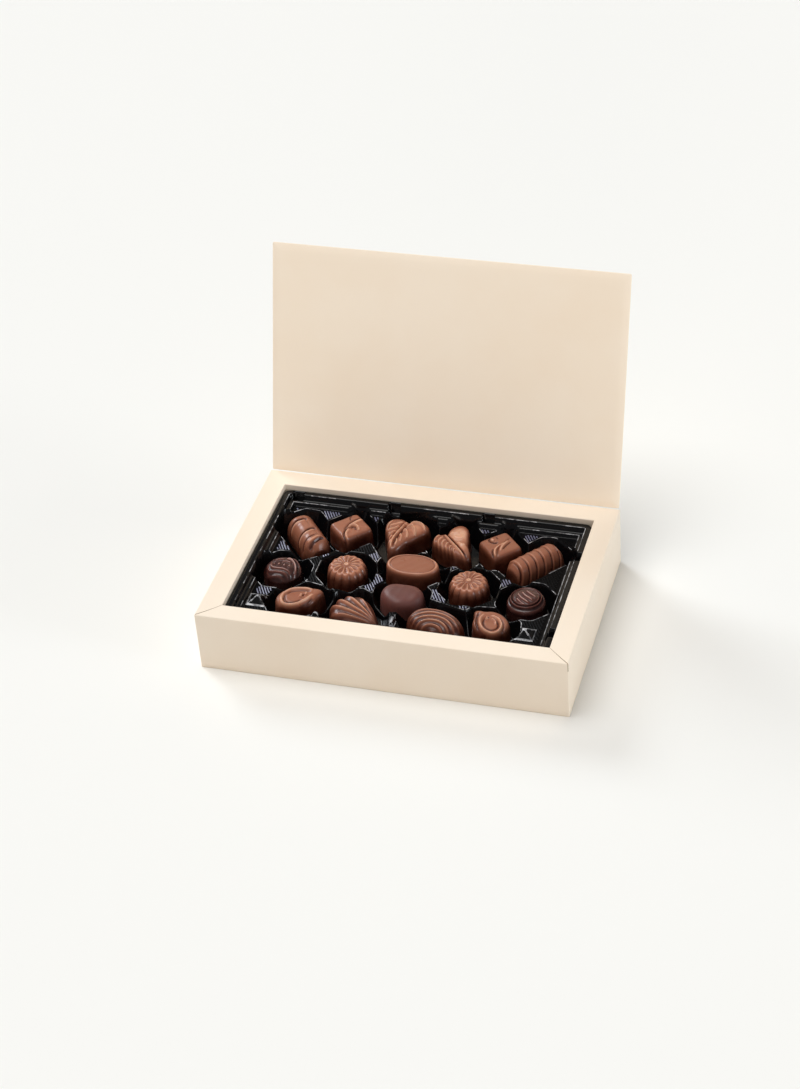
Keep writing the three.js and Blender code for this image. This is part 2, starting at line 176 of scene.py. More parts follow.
# A material of Object-coordinate noises, given as (size in mm, detail). A range is (field, from, from, to,
# to), a layer is a colour mixed over the first by a range, and a bump is (field, strength, depth in mm).
def makeMaterial(name, look):
    material = bpy.data.materials.new(name)
    material.use_nodes = True
    tree = material.node_tree
    tree.nodes.clear()
    fields = {}
    if "attribute" in look:
        settings = {"attribute_name": look["attribute"]}
        fields[look["attribute"]] = addNode(tree, "ShaderNodeAttribute", settings).outputs["Fac"]
    if "noises" in look:
        place = addNode(tree, "ShaderNodeTexCoord").outputs["Object"]
        for label, (size, detail) in look["noises"].items():
            inputs = {"Vector": place, "Scale": 1 / (size * mm), "Detail": detail}
            fields[label] = addNode(tree, "ShaderNodeTexNoise", None, inputs).outputs["Fac"]
    for label, (field, *ends) in look.get("ranges", {}).items():
        inputs = {"Value": fields[field], **dict(zip(rangeEnds, ends))}
        fields[label] = addNode(tree, "ShaderNodeMapRange", None, inputs).outputs["Result"]
    colour = linear(look["colour"])
    for share, shade in look.get("layers", []):
        inputs = {0: fields[share], 6: colour, 7: linear(shade)}
        colour = addNode(tree, "ShaderNodeMix", {"data_type": "RGBA"}, inputs).outputs[2]
    finish = {"Base Color": colour, **look["values"]}
    if "roughness" in fields:
        finish["Roughness"] = fields["roughness"]
    if "bump" in look:
        field, strength, depth = look["bump"]
        inputs = {"Strength": strength, "Distance": depth * mm, "Height": fields[field]}
        finish["Normal"] = addNode(tree, "ShaderNodeBump", None, inputs).outputs["Normal"]
    shader = addNode(tree, "ShaderNodeBsdfPrincipled", None, finish)
    addNode(tree, "ShaderNodeOutputMaterial", None, {"Surface": shader.outputs[0]})
    return material


# Clay-coated folding boxboard, calendered: matt and even, with a faint cloudy warmth and a fine tooth
card = makeMaterial("coated folding boxboard", {
    "noises": {"cloud": (45.0, 3.0), "tooth": (0.45, 4.0)},
    "ranges": {"warmth": ("cloud", 0.35, 0.7, 0.0, 0.6), "roughness": ("tooth", 0.3, 0.7, 0.55, 0.66)},
    "colour": "#f6e7d3", "layers": [("warmth", "#f3e1ca")], "bump": ("tooth", 0.12, 0.05),
    "values": {"IOR": 1.5, "Specular IOR Level": 0.35},
})

# The cut edge of folding boxboard: raw grey-brown pulp, dull and fuzzy
cutEdge = makeMaterial("cut boxboard edge", {"colour": "#9c8566", "values": {"Roughness": 0.85}})

# Black polystyrene sheet, vacuum formed: glossy on its walls, with a faint ripple and thin scuffs
plastic = makeMaterial("formed black polystyrene", {
    "noises": {"ripple": (7.0, 2.0), "grain": (0.8, 5.0)},
    "ranges": {"scuffs": ("grain", 0.5, 0.8, 0.0, 0.6), "roughness": ("grain", 0.3, 0.7, 0.14, 0.24)},
    "colour": "#050506", "layers": [("scuffs", "#121215")], "bump": ("ripple", 0.25, 0.15),
    "values": {"IOR": 1.55, "Specular IOR Level": 0.24},
})

# The same sheet with other finishes: a grey-violet one that carries a painted sheen for the ribs that catch
# the window, one sanded and still black, and a grey one with a white painted highlight for the folds and the
# posts' edges. Each has its colour, its pale colour (painted sheen and highlight, or wear on the sanded
# one), the grain in mm and the gloss.
dullSheets = [
    ("sheenPainted", "#5c5c76", "#74748a", 0.9, 0.5),
    ("sanded", "#060607", "#0d0d0f", 0.9, 0.03),
    ("highlightPainted", "#4a4a4e", "#e2e2e4", 3.0, 0.5),
]
sheenPainted, sanded, highlightPainted = [
    makeMaterial(name + " black polystyrene", {
        "noises": {"grain": (grain, 4.0)}, "ranges": {"wearAndSheen": ("grain", 0.4, 0.7, 0.0, 1.0)},
        "colour": colour, "layers": [("wearAndSheen", wornAndSheen)],
        "values": {"Roughness": 0.34, "IOR": 1.55, "Specular IOR Level": gloss},
    })
    for name, colour, wornAndSheen, grain, gloss in dullSheets
]

# Tempered chocolate cast in a polished mould: a satin skin with a haze of bloom. Its colour carries painted
# light: a painted highlight on what stands proud, partly rub, and painted shade deeper in the hollows and
# down the sides. The relief attribute is the height of the engraving in mm with a painted-shade fall down
# the sides, and fullShadeRelief is where the hollows and sides have their full painted shade.
fullShadeRelief = 0.75


def chocolate(name, paintedShadeColour, proud, rubAndHighlight, bloom, cloud, roughness):
    return makeMaterial(name, {
        "attribute": "relief", "noises": {"cloud": (cloud, 4.0), "grain": (0.6, 3.0)},
        "ranges": {
            # height lays the top colour over the painted shade of hollows and sides, and the crest share
            # lays on the painted highlight
            "height": ("relief", -fullShadeRelief, 0.2, 0.0, 1.0), "rubAndHighlightShare": ("relief", 0.15, 0.8, 0.0, 0.95),
            "haze": ("cloud", 0.4, 0.75, 0.0, 0.3), "roughness": ("cloud", 0.3, 0.7, *roughness),
        },
        "colour": paintedShadeColour, "layers": [("height", proud), ("rubAndHighlightShare", rubAndHighlight), ("haze", bloom)],
        "bump": ("grain", 0.18, 0.08),
        "values": {
            "IOR": 1.47, "Subsurface Weight": 0.12, "Subsurface Radius": (1.0, 0.4, 0.2),
            "Subsurface Scale": 1.2 * mm,
        },
    })


# Colours: painted shade of hollows and sides, top, painted highlight on crests (partly rub), bloom
milk = chocolate(
    "moulded milk chocolate", "#451b0e", "#a96b50", "#e0ab8c", "#965d47", 5.0, (0.27, 0.36)
)
dark = chocolate(
    "moulded dark chocolate", "#2a110e", "#75453b", "#d3aca1", "#64403a", 6.0, (0.21, 0.29)
)
# The dull chocolate's painted-shade colour is lighter than its top: painted light on its sides, lifting them
# out of the pocket's shade
dull = chocolate("dull dark chocolate", "#70423a", "#5f332b", "#d3aca1", "#64403a", 6.0, (0.46, 0.56))
print("materials made")


# Card box

# The rings of its foot are (inset, height, corner radius)
carton = {
    "width": 230, "depth": 151, "height": 41, "floor": 1.2, "side": 13.8, "front": 12.5, "back": 14,
    "fold": 0.7, "innerFold": 0.45, "seamDepth": 1.4, "dip": 0.25, "cornerRadius": 0.3,
    "foot": [(1.5, 0, 0.5), (0.2, 0, 0.6), (0, 0.3, 0.7)], "wallFrom": 4, "wallRings": 8, "foldSteps": 4,
    "acrossSteps": 10, "innerFrom": 2, "innerRings": 6, "floorInset": 2,
}
ringSteps = {"corner": 4, "side": 6}
opening = {
    "left": -carton["width"] / 2 + carton["side"],
    "right": carton["width"] / 2 - carton["side"],
    "front": -carton["depth"] / 2 + carton["front"],
    "back": carton["depth"] / 2 - carton["back"],
}


# Counterclockwise from the front right corner, with the same number of points whatever the size
def rectangleRing(left, right, front, back, radius, z, steps=ringSteps):
    cornerSteps, sideSteps = steps["corner"], steps["side"]
    corners = [(right, front, -90), (right, back, 0), (left, back, 90), (left, front, 180)]
    inward = [(-1, 1), (-1, -1), (1, -1), (1, 1)]
    ring = []
    for (x, y, start), (u, v) in zip(corners, inward):
        for step in range(cornerSteps + 1):
            angle = math.radians(start + 90 * step / cornerSteps)
            cx, cy = x + u * radius, y + v * radius
            ring.append((cx + radius * math.cos(angle), cy + radius * math.sin(angle), z))
    full = []
    for index, point in enumerate(ring):
        full.append(point)
        if index % (cornerSteps + 1) == cornerSteps:
            following = ring[(index + 1) % len(ring)]
            for step in range(1, sideSteps):
                t = step / sideSteps
                full.append(tuple(a + (b - a) * t for a, b in zip(point, following)))
    return np.array(full)


def cartonRing(inset, z, radius):
    halfWidth, halfDepth = carton["width"] / 2 - inset, carton["depth"] / 2 - inset
    return rectangleRing(-halfWidth, halfWidth, -halfDepth, halfDepth, radius, z)


def openingRing(outset, z):
    return rectangleRing(
        opening["left"] - outset, opening["right"] + outset,
        opening["front"] - outset, opening["back"] + outset, carton["cornerRadius"], z,
    )


def cartonBase():
    height, fold, innerFold = carton["height"], carton["fold"], carton["innerFold"]
    rings = [cartonRing(*ring) for ring in carton["foot"]]
    walls = np.linspace(carton["wallFrom"], height - fold, carton["wallRings"])
    rings += [cartonRing(0, z, fold) for z in walls]
    quarter = np.linspace(0, math.pi / 2, carton["foldSteps"] + 1)
    for angle in quarter[1:]:
        rings.append(cartonRing(fold * (1 - math.cos(angle)), height - fold + fold * math.sin(angle), fold))
    outer, inner = rings[-1], openingRing(innerFold, height)
    topStart = len(rings) - 1
    for step in range(1, carton["acrossSteps"]):
        t = step / carton["acrossSteps"]
        ring = outer + (inner - outer) * t
        ring[:, 2] = height - carton["dip"] * math.sin(math.pi * t)
        rings.append(ring)
    topEnd = len(rings)
    for angle in quarter:
        drop = innerFold * (1 - math.cos(angle))
        rings.append(openingRing(innerFold * (1 - math.sin(angle)), height - drop))
    innerWalls = np.linspace(height - carton["innerFrom"], carton["floor"], carton["innerRings"])
    rings += [openingRing(0, z) for z in innerWalls]
    rings.append(openingRing(-carton["floorInset"], carton["floor"]))
    rings = np.array(rings)
    perCorner = ringSteps["corner"] + ringSteps["side"]
    spokes = rings.shape[1]
    cut = []
    # the seams at the two front corners: the right one is slit further down
    for corner, firstLevel in ((0, topStart - 5), (3, topStart - 1)):
        middle = corner * perCorner + ringSteps["corner"] // 2
        rings[topStart:topEnd + 1, middle, 2] -= carton["seamDepth"]
        for level in range(firstLevel, topEnd + 1):
            cut += [level * spokes + middle - 1, level * spokes + middle]
    points, faces = skinRings(rings)
    piece = makeObject("card_box", points, faces, card)
    piece.data.materials.append(cutEdge)
    for index in cut:
        piece.data.polygons[index].material_index = 1
    return piece


box = cartonBase()
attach(box, "box")
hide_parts("carton_base")

# The rings of each face are given by their insets
lid = {
    "length": 151, "inset": 1, "thickness": 1, "gap": 0.3, "openAngle": 107, "corner": 1.0, "edge": 0.3,
    "faceRings": (30, 6),
}


def lidPanel():
    edge, halfWidth = lid["edge"], carton["width"] / 2 - lid["inset"]
    low, high = lid["gap"], lid["gap"] + lid["thickness"]

    def ring(inset, z):
        return rectangleRing(
            -halfWidth + inset, halfWidth - inset, -lid["length"] + inset, -lid["gap"] - inset,
            lid["corner"], z,
        )

    levels = [(inset, low) for inset in lid["faceRings"]]
    levels += [(edge, low), (edge * 0.3, low + edge * 0.3), (0, low + edge)]
    levels += [(inset, low + high - z) for inset, z in reversed(levels)]
    points, faces = skinRings(np.array([ring(inset, z) for inset, z in levels]))
    angle = -math.radians(lid["openAngle"])
    y = points[:, 1] * math.cos(angle) - points[:, 2] * math.sin(angle) + carton["depth"] / 2
    z = points[:, 1] * math.sin(angle) + points[:, 2] * math.cos(angle) + carton["height"]
    return makeObject("lid_panel", np.stack([points[:, 0], y, z], 1), faces, card)


panel = lidPanel()
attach(panel, "lid")
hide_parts("carton_lid")
print("card box made")


# Chocolates. Each is cast about its own middle, and relief lines are given in the box's plan.

chocolateBase = 20.3
fineness = {
    "spokes": 280, "sideRings": 18, "topRings": 66, "poleShare": 0.015, "footShare": 0.965,
    "baseRound": 0.35, "barRings": 150, "barSpokes": 97,
}
barEnd = {
    "capShares": (0.97, 0.9, 0.6, 0.3), "capPlaces": (0.25, 0.45, 0.6, 0.65),
    "fadeHeight": 5, "fadeFrom": 0.7, "fadeRun": 1.2,
}
castings = {}


def settle(piece, node):
    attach(piece, "box")
    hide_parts(node)


# Makes a cast from its rings. shade is its relief attribute, crown the relief at its last pole, and outline
# the points (us, vs) round its base that its pocket has to clear.
def finishCast(name, cast, rings, shade, crown, outline, material):
    rings[:, :, 2] += chocolateBase
    points, faces = skinRings(rings)
    piece = makeObject(name + "_cast", points, faces, material)
    # The two poles: full painted shade at the first, and crown at the last
    relief = np.concatenate([shade.reshape(-1), [-fullShadeRelief, crown]]).astype(np.float32)
    piece.data.attributes.new("relief", "FLOAT", "POINT").data.foreach_set("value", relief)
    settle(piece, name)
    castings[name] = (cast["x"], cast["y"], math.radians(cast["turn"]), *outline)


# A body cast in a mould. radius(angle) is its outline at the base, square sets how flat its top is, and
# relief(cast, x, y, share) is added to the top, where share runs from 0 in the middle to 1 at the outline.
def castBody(name, cast, radius, relief, material=milk):
    square, taper, height = cast["square"], cast["taper"], cast["height"]
    turn = math.radians(cast["turn"])
    angle = np.linspace(0, 2 * math.pi, fineness["spokes"], endpoint=False)[None, :]
    turnShare = 2 ** (-1 / square)
    sideLevel = turnShare * np.arange(fineness["sideRings"]) / fineness["sideRings"]
    sideShare = (1 - sideLevel**square) ** (1 / square)
    topShare = np.linspace(turnShare, fineness["poleShare"], fineness["topRings"])
    share = np.concatenate([[fineness["footShare"]], sideShare, topShare])[:, None]
    level = np.concatenate([[0.0], sideLevel, (1 - topShare**square) ** (1 / square)])[:, None]
    outline = radius(angle)
    reach = outline * share * (1 - taper * level)
    if "lip" in cast:
        lip = cast["lip"]
        reach = reach + lip["rise"] * bump(level, lip["level"], lip["width"]) * (share > 0.8)
    x = cast["x"] + reach * np.cos(angle + turn)
    y = cast["y"] + reach * np.sin(angle + turn)
    raised = relief(cast, x, y, share + 0 * angle) * level**4
    z = level * height + raised + unevenness(x, y, len(castings) + 1) * level**4
    z[1] += fineness["baseRound"]
    # The relief attribute: the engraving's height, with the sink given back where the cast has one, less
    # painted shade down the sides
    shade = raised + cast.get("sink", 0) * level**4 - fullShadeRelief * (1 - level**6)
    around = outline[0] * np.cos(angle[0]), outline[0] * np.sin(angle[0])
    rings = np.stack([x, y, z], 2)
    finishCast(name, cast, rings, shade, float(shade[-1].mean()), around, material)


# A bar with an arched section. relief(along, around) is how far the skin stands out, where around is
# measured over the arch from its crown.
def castBar(name, cast, relief):
    halfLength, chamfer, square = cast["length"] / 2, cast["chamfer"], cast["square"]
    turn = math.radians(cast["turn"])
    body = np.linspace(-halfLength, halfLength, fineness["barRings"])
    t = np.clip((abs(body) - halfLength + chamfer) / chamfer, 0, 1)
    shares = 1 - (1 - cast["endShare"]) * t ** cast["endPower"]
    capShares = cast["endShare"] * np.array(barEnd["capShares"])
    capPlaces = halfLength + np.array(barEnd["capPlaces"])
    places = np.concatenate([-capPlaces[::-1], body, capPlaces])
    shares = np.concatenate([capShares[::-1], shares, capShares])
    angle = np.linspace(0, math.pi, fineness["barSpokes"])
    across = np.sign(np.cos(angle)) * abs(np.cos(angle)) ** (2 / square) * cast["width"] / 2
    up = np.clip(np.sin(angle), 0, 1) ** (2 / square) * cast["height"]
    steps = np.hypot(np.diff(across), np.diff(up))
    around = np.concatenate([[0], np.cumsum(steps)])
    around = around[-1] / 2 - around
    slopeY, slopeZ = np.gradient(across), np.gradient(up)
    size = np.hypot(slopeY, slopeZ)
    outY, outZ = slopeZ / size, -slopeY / size
    along = places[:, None] + 0 * around[None, :]
    aroundAll = around[None, :] + 0 * along
    endFade = np.clip((halfLength + barEnd["fadeFrom"] - abs(places)) / barEnd["fadeRun"], 0, 1)
    fade = np.clip(up / barEnd["fadeHeight"], 0, 1)[None, :] * endFade[:, None]
    raised = relief(along, aroundAll) * fade
    skin = raised + unevenness(along, aroundAll, len(castings) + 1) * fade
    v = shares[:, None] * across[None, :] + skin * outY[None, :]
    z = shares[:, None] * up[None, :] + skin * outZ[None, :]
    u = along - cast["skew"] * np.clip(v, 0, None) * np.clip(along / halfLength, 0, 1) ** 3
    x = cast["x"] + u * math.cos(turn) - v * math.sin(turn)
    y = cast["y"] + u * math.sin(turn) + v * math.cos(turn)
    # painted shade: the bar darkens towards its foot, and fully at its ends
    shade = raised - fullShadeRelief * (1 - fade * np.clip(up / cast["height"], 0, 1) ** 1.5)
    ends = np.array([-halfLength, halfLength])
    shoulder = np.array([-halfLength + chamfer, halfLength - chamfer])
    half, endHalf = cast["width"] / 2, cast["width"] / 2 * cast["endShare"]
    us = np.concatenate([ends, ends, shoulder, shoulder])
    vs = np.array([endHalf, endHalf, -endHalf, -endHalf, half, half, -half, -half])
    rings = np.stack([x, y, np.maximum(z, 0)], 2)
    finishCast(name, cast, rings, shade, -fullShadeRelief, (us, vs), milk)


# Lines engraved in a top that is lowered for them. A line is (rise, width, points along it).
def engraved(cast, x, y, share):
    return ridges(x, y, cast["lines"]) - cast.get("lowered", cast.get("sink", 0))


# Swells and dents, each (rise, width, middle)
def puffed(cast, x, y, share):
    total = np.zeros(x.shape)
    for rise, width, (px, py) in cast["puffs"]:
        total = total + rise * bump(np.hypot(x - px, y - py), 0, width)
    return total


barTwisted = {
    "x": -75.4, "y": 26.8, "turn": -50, "length": 36.4, "width": 19.4, "height": 15.6,
    "chamfer": 6, "endShare": 0.64, "endPower": 2.2, "square": 2.4, "skew": 0.3,
    "lines": [
        (-1.5, 0.8, [(-9.4, 3.4), (-10.4, -1), (-10.2, -6), (-8.6, -12), (-7, -18)]),
        (-0.45, 1.4, [(-8.6, 3.6), (-9.8, 0.4), (-10.2, -2.4)]),
        (-1.5, 0.8, [(1.4, 5), (1.8, 0), (2.8, -6), (4.6, -12), (6.4, -18)]),
        (-0.45, 1.5, [(1.6, 5.2), (1.8, 1.4), (2.2, -2)]),
        (-0.6, 0.6, [(8.4, 2.6), (8.8, -2.4), (10, -8), (11.8, -14)]),
        (-1.5, 0.9, [(12.4, 6.4), (13.6, 1.4), (14.6, -3), (16, -8)]),
        (-0.45, 1.5, [(12.6, 6.4), (13.4, 2.2), (14, -1)]),
        (0.4, 1.2, [(-8, 4), (-8.6, -2), (-8, -8), (-6.4, -14)]),
        (0.4, 1.2, [(3.2, 4), (3.8, -2), (5, -8), (7, -14)]),
        (0.35, 1.1, [(10.8, 4.6), (11.6, -0.5), (13, -6)]),
        (-0.25, 0.5, [(-14, 1.6), (-5, 2.2), (0, 1.4)]),
        (-0.25, 0.5, [(2.6, 3.2), (7, 3), (12, 4)]),
    ],
}

barLined = {
    "x": 71.2, "y": 27.1, "turn": 50, "length": 34.6, "width": 18.6, "height": 16,
    "chamfer": 4.4, "endShare": 0.74, "endPower": 1.6, "square": 2.5, "skew": 0,
    "grooves": 6, "spacing": 5.8, "start": -14.6, "depth": 1.0, "widthOfGroove": 0.42,
    "bow": 1.4, "bowRun": 12, "deepening": {"from": 6, "run": 12, "least": 0.25},
    "crest": {"rise": 0.3, "beside": 1.1, "width": 0.7},
}


# The grooves deepen down the right side and each has a low crest beside it
def linedRelief(along, around):
    total = np.zeros(along.shape)
    deepening, crest = barLined["deepening"], barLined["crest"]
    deep = np.clip((deepening["from"] - around) / deepening["run"], deepening["least"], 1)
    lean = along + barLined["bow"] * (around / barLined["bowRun"]) ** 2
    for index in range(barLined["grooves"]):
        centre = barLined["start"] + index * barLined["spacing"]
        total -= barLined["depth"] * deep * bump(lean, centre, barLined["widthOfGroove"])
        total += crest["rise"] * bump(lean, centre + crest["beside"], crest["width"])
    return total


castBar("bar_twisted", barTwisted, lambda along, around: ridges(along, around, barTwisted["lines"]))
castBar("bar_lined", barLined, linedRelief)

squareHooked = {
    "x": -49.2, "y": 34, "turn": 45, "side": 22.4, "height": 15.6, "taper": 0.08, "square": 10,
    "cornerPower": 9, "sink": 0.22,
    "lines": [
        (-0.5, 0.6, [(-52, 44.6), (-51.6, 41.4), (-50.6, 39)]),
        (-0.55, 0.85, [(-45, 44), (-49, 38.6), (-51.4, 33.4), (-52, 29)]),
        (0.5, 1.3, [(-43.6, 42.6), (-47, 38.2), (-49.4, 34.6)]),
        (0.9, 0.95, [(-50.2, 31.2), (-49.3, 33.6), (-47.4, 34.9), (-45.2, 34.2), (-43.6, 32.2), (-43, 30)]),
        (-0.6, 0.7, [(-48.4, 31.4), (-47.2, 33), (-45.6, 32.4), (-44.8, 30.4)]),
        (0.5, 0.8, [(-44.6, 33.2), (-43.8, 31.2)]),
        (-0.8, 0.65, [(-48.8, 32.4), (-50.9, 30), (-51.3, 26.5), (-50.2, 23), (-48.2, 19.8)]),
        (0.8, 0.9, [(-49.4, 30.6), (-49.8, 26), (-48.8, 23), (-47, 20.2)]),
    ],
}

squareFlamed = {
    "x": 47.8, "y": 33.6, "turn": 43, "side": 22.2, "height": 15.6, "taper": 0.08, "square": 10,
    "cornerPower": 9, "sink": 0.22,
    "lines": [
        (0.7, 1.5, [(41.2, 36.9), (42.2, 36), (43.2, 35.9)]),
        (-0.8, 0.65, [(40.2, 39), (39.9, 36.6), (41.4, 34.7), (44, 34), (46.2, 35.2)]),
        (-0.5, 0.5, [(43.4, 40.4), (45.2, 38)]),
        (-0.5, 0.8, [(52, 41.4), (50.6, 37), (48.4, 33), (47.5, 29.5), (47.9, 25.5), (48.8, 20.6)]),
        (-0.6, 0.6, [(53.8, 37.8), (51.8, 33.6), (50.4, 28.6)]),
        (0.6, 0.9, [(49.8, 35.8), (46.6, 29.4), (46.2, 25.6), (47.6, 21.4)]),
        (0.5, 1.0, [(51.6, 38.6), (49.8, 33), (49.2, 27)]),
        (-0.8, 0.55, [(44.6, 28), (45, 24.6), (46.8, 20.8)]),
    ],
}


def castSquare(name, cast):
    half = cast["side"] / 2
    castBody(name, cast, superellipse(half, half, cast["cornerPower"]), engraved)


castSquare("square_hooked", squareHooked)
castSquare("square_flamed", squareFlamed)

leafWide = {
    "x": -15.8, "y": 36.8, "turn": -98, "body": 11.4, "tip": 10, "tipWidth": 0.36, "lobes": (6.8, 5.6),
    "lobeAngle": 2.2, "lobeWidth": 0.6, "notchDepth": 2.0, "notchWidth": 0.24,
    "height": 15.6, "taper": 0.08, "square": 7, "sink": 0.85, "emphasis": 1.35,
    "puffs": [(0.05, 5.5, (-21.5, 38)), (0.4, 5.0, (-8, 40))],
    "lines": [
        (0.8, 0.9, [(-15, 45.6), (-16.6, 38.6), (-18.6, 32), (-19.8, 26), (-19.4, 18.6)]),
        (-0.5, 0.8, [(-14, 42), (-15.4, 38), (-17.2, 31), (-18.2, 25), (-18, 20)]),
        (0.6, 0.8, [(-24.6, 45.6), (-26.4, 40), (-26.6, 34), (-25.4, 28), (-23.4, 22), (-20.4, 17)]),
        (-0.5, 0.7, [(-16.8, 44), (-18.6, 37), (-20.2, 31), (-21, 25)]),
        (0.65, 0.95, [(-25.2, 39), (-21.6, 41), (-17.4, 44)]),
        (0.65, 0.95, [(-25.6, 34.4), (-22, 36.4), (-18.2, 39.8)]),
        (0.65, 0.95, [(-25.3, 29.9), (-22.3, 31.8), (-19.4, 35.2)]),
        (0.6, 0.9, [(-24.4, 25.7), (-22.2, 27.6), (-20.4, 30.8)]),
        (0.5, 0.8, [(-23, 22), (-21.6, 23.8), (-20.8, 26.6)]),
        (0.9, 0.9, [(-13, 43.6), (-8, 45), (-4, 42.8), (-2.2, 39.4)]),
        (0.9, 0.9, [(-14.4, 39.6), (-11, 40.8), (-8.4, 37.4), (-7, 32.8)]),
        (0.8, 0.85, [(-15.8, 35.6), (-13.6, 36.2), (-12, 33), (-11.5, 29.6)]),
        (0.7, 0.75, [(-17, 31), (-15.6, 31.2), (-14.7, 28.4), (-14.9, 25.2)]),
        (0.6, 0.6, [(-17.9, 26.8), (-17, 26.6), (-16.6, 23.8), (-17, 21)]),
    ],
}

leafNarrow = {
    "x": 18.2, "y": 32.5, "turn": -49, "body": 10.3, "tip": 10, "tipWidth": 0.4, "lobes": (9.4, 4.6),
    "lobeAngle": 2.35, "lobeWidth": 0.55, "notchDepth": 2, "notchWidth": 0.28,
    "height": 15.6, "taper": 0.08, "square": 7, "sink": 0.8, "emphasis": 1.2,
    "puffs": [(1.1, 6, (20.5, 38.5)), (0.05, 4.5, (12, 29)), (0.5, 3.5, (25, 27))],
    "lines": [
        (-1.2, 0.55, [(11, 38.9), (15.4, 34.4), (20, 29.6), (25, 24.4), (30, 18.6)]),
        (0.7, 0.75, [(11.2, 36.8), (14.6, 33), (19.4, 28), (24.4, 22.8), (29.8, 16.8)]),
        (-0.4, 0.5, [(10.2, 36.6), (13.6, 32.2), (18.4, 27)]),
        (0.7, 0.75, [(8.6, 36.4), (6.4, 33.2), (6.3, 29.6), (7.8, 26.2)]),
        (0.75, 0.75, [(11, 34.6), (9.2, 30.4), (10.2, 25.8), (12.8, 21.4)]),
        (0.75, 0.75, [(13.4, 32.2), (12, 28.6), (13.2, 24.2), (15.8, 20.4)]),
        (0.7, 0.7, [(15.9, 29.8), (14.9, 26.4), (16.2, 22.8), (18.8, 19.4)]),
        (0.7, 0.65, [(18.4, 27.2), (17.7, 24.2), (19, 21.6), (21.2, 19)]),
        (0.7, 0.65, [(21, 24.6), (20.6, 22.4), (22, 20.2), (24.2, 18.2)]),
        (0.4, 1.3, [(14.4, 38.8), (17.4, 38.2), (20.4, 39.4)]),
        (0.45, 1.3, [(17.6, 35), (20.6, 33.8), (23.8, 34.6)]),
        (0.4, 1.2, [(21.2, 30.6), (24, 29), (26.6, 29.4)]),
    ],
}


def leafRelief(cast, x, y, share):
    return cast["emphasis"] * ridges(x, y, cast["lines"]) - cast["sink"] + puffed(cast, x, y, share)


def castLeaf(name, cast):
    def radius(angle):
        heading = wrap(angle)
        tip = cast["tip"] * bump(heading, 0, cast["tipWidth"])
        firstLobe = cast["lobes"][0] * bump(heading, cast["lobeAngle"], cast["lobeWidth"])
        lastLobe = cast["lobes"][1] * bump(heading, -cast["lobeAngle"], cast["lobeWidth"])
        cleft = cast["notchDepth"] * bump(abs(heading), math.pi, cast["notchWidth"])
        return cast["body"] + tip + firstLobe + lastLobe - cleft

    castBody(name, cast, radius, leafRelief)


castLeaf("leaf_wide", leafWide)
castLeaf("leaf_narrow", leafNarrow)

roundCombed = {
    "x": -80.2, "y": -11.4, "turn": 0, "radius": 12.7, "height": 15.6, "taper": 0.05, "square": 3.6,
    "lip": {"rise": 0.35, "level": 0.62, "width": 0.06}, "lowered": 0.55,
    "lines": [
        (0.75, 0.8, [(-87.4, -9.6), (-86.6, -13.8), (-84, -15.8), (-78, -15.9), (-74, -17.2), (-72.8, -20)]),
        (0.75, 0.8, [(-88.9, -11.6), (-88, -16), (-85, -18.5), (-78, -18.7), (-74.6, -19.9), (-73.6, -22)]),
        (0.7, 0.8, [(-88.7, -17.4), (-85.6, -20.9), (-79, -21.3), (-75, -22.4)]),
        (0.6, 0.8, [(-86, -22.2), (-82, -23.6), (-77, -23.7)]),
        (0.6, 0.7, [(-85.1, -13), (-84.9, -11.6)]),
        (0.75, 0.75, [(-82, -13.2), (-81.8, -11.6)]),
        (0.75, 0.75, [(-78.6, -13.4), (-78.4, -11.8)]),
        (0.75, 0.75, [(-75.2, -13.4), (-75, -11.8)]),
        (0.6, 0.8, [(-86, -8.6), (-82.6, -7.2), (-79.6, -7)]),
        (0.6, 0.8, [(-81, -9.4), (-77.6, -8.6), (-75, -9.4)]),
        (1.5, 0.8, [(-79, -5.9), (-74.8, -7.2), (-71.8, -10.8), (-70.6, -15), (-71, -20)]),
        (-1.3, 0.6, [(-78, -4.4), (-73.6, -5.9), (-70.4, -9.8), (-69.2, -14.4), (-69.6, -20)]),
        (1.4, 0.7, [(-76, -3.6), (-72.2, -5.4), (-69.4, -9.4), (-68.4, -14.4), (-69, -19)]),
    ],
}


def castRound(name, cast, relief):
    castBody(name, cast, lambda angle: cast["radius"] + 0 * angle, relief, dark)


castRound("round_combed", roundCombed, engraved)

roundRinged = {
    "x": 75, "y": -12.4, "turn": 0, "radius": 12.5, "height": 15.6, "taper": 0.05, "square": 3.6,
    "lip": {"rise": 0.35, "level": 0.6, "width": 0.06}, "lowered": 0.45,
    "rings": [
        (2.2, 0.92, 0.03), (-1.5, 0.86, 0.03), (1.5, 0.79, 0.03), (-1.2, 0.72, 0.03), (0.8, 0.66, 0.025),
    ],
    "lines": [
        (0.7, 0.7, [(69.6, -15.6), (72.6, -18.6), (76, -20.4)]),
        (0.75, 0.7, [(70.4, -12.6), (73.6, -16), (78.4, -18.8)]),
        (0.75, 0.7, [(71.6, -9.8), (75.4, -13.4), (80.2, -16.4)]),
        (0.7, 0.7, [(74, -8.2), (77.6, -10.8), (81.6, -13.4)]),
        (0.6, 0.6, [(70.2, -13.4), (70.6, -12.6)]),
    ],
}


def ringedRelief(cast, x, y, share):
    total = engraved(cast, x, y, share)
    for rise, place, width in cast["rings"]:
        total = total + rise * bump(share, place, width)
    return total


castRound("round_ringed", roundRinged, ringedRelief)

ovalRimmed = {
    "x": -0.8, "y": 4.6, "turn": 0, "length": 35.4, "width": 21.6, "height": 15.2, "taper": 0.08,
    "square": 16, "rimShare": 0.885, "rimSoft": 0.008, "recess": 0.6, "sink": 0.55,
    "groove": {"depth": 0.3, "inside": 0.03, "width": 0.016},
}


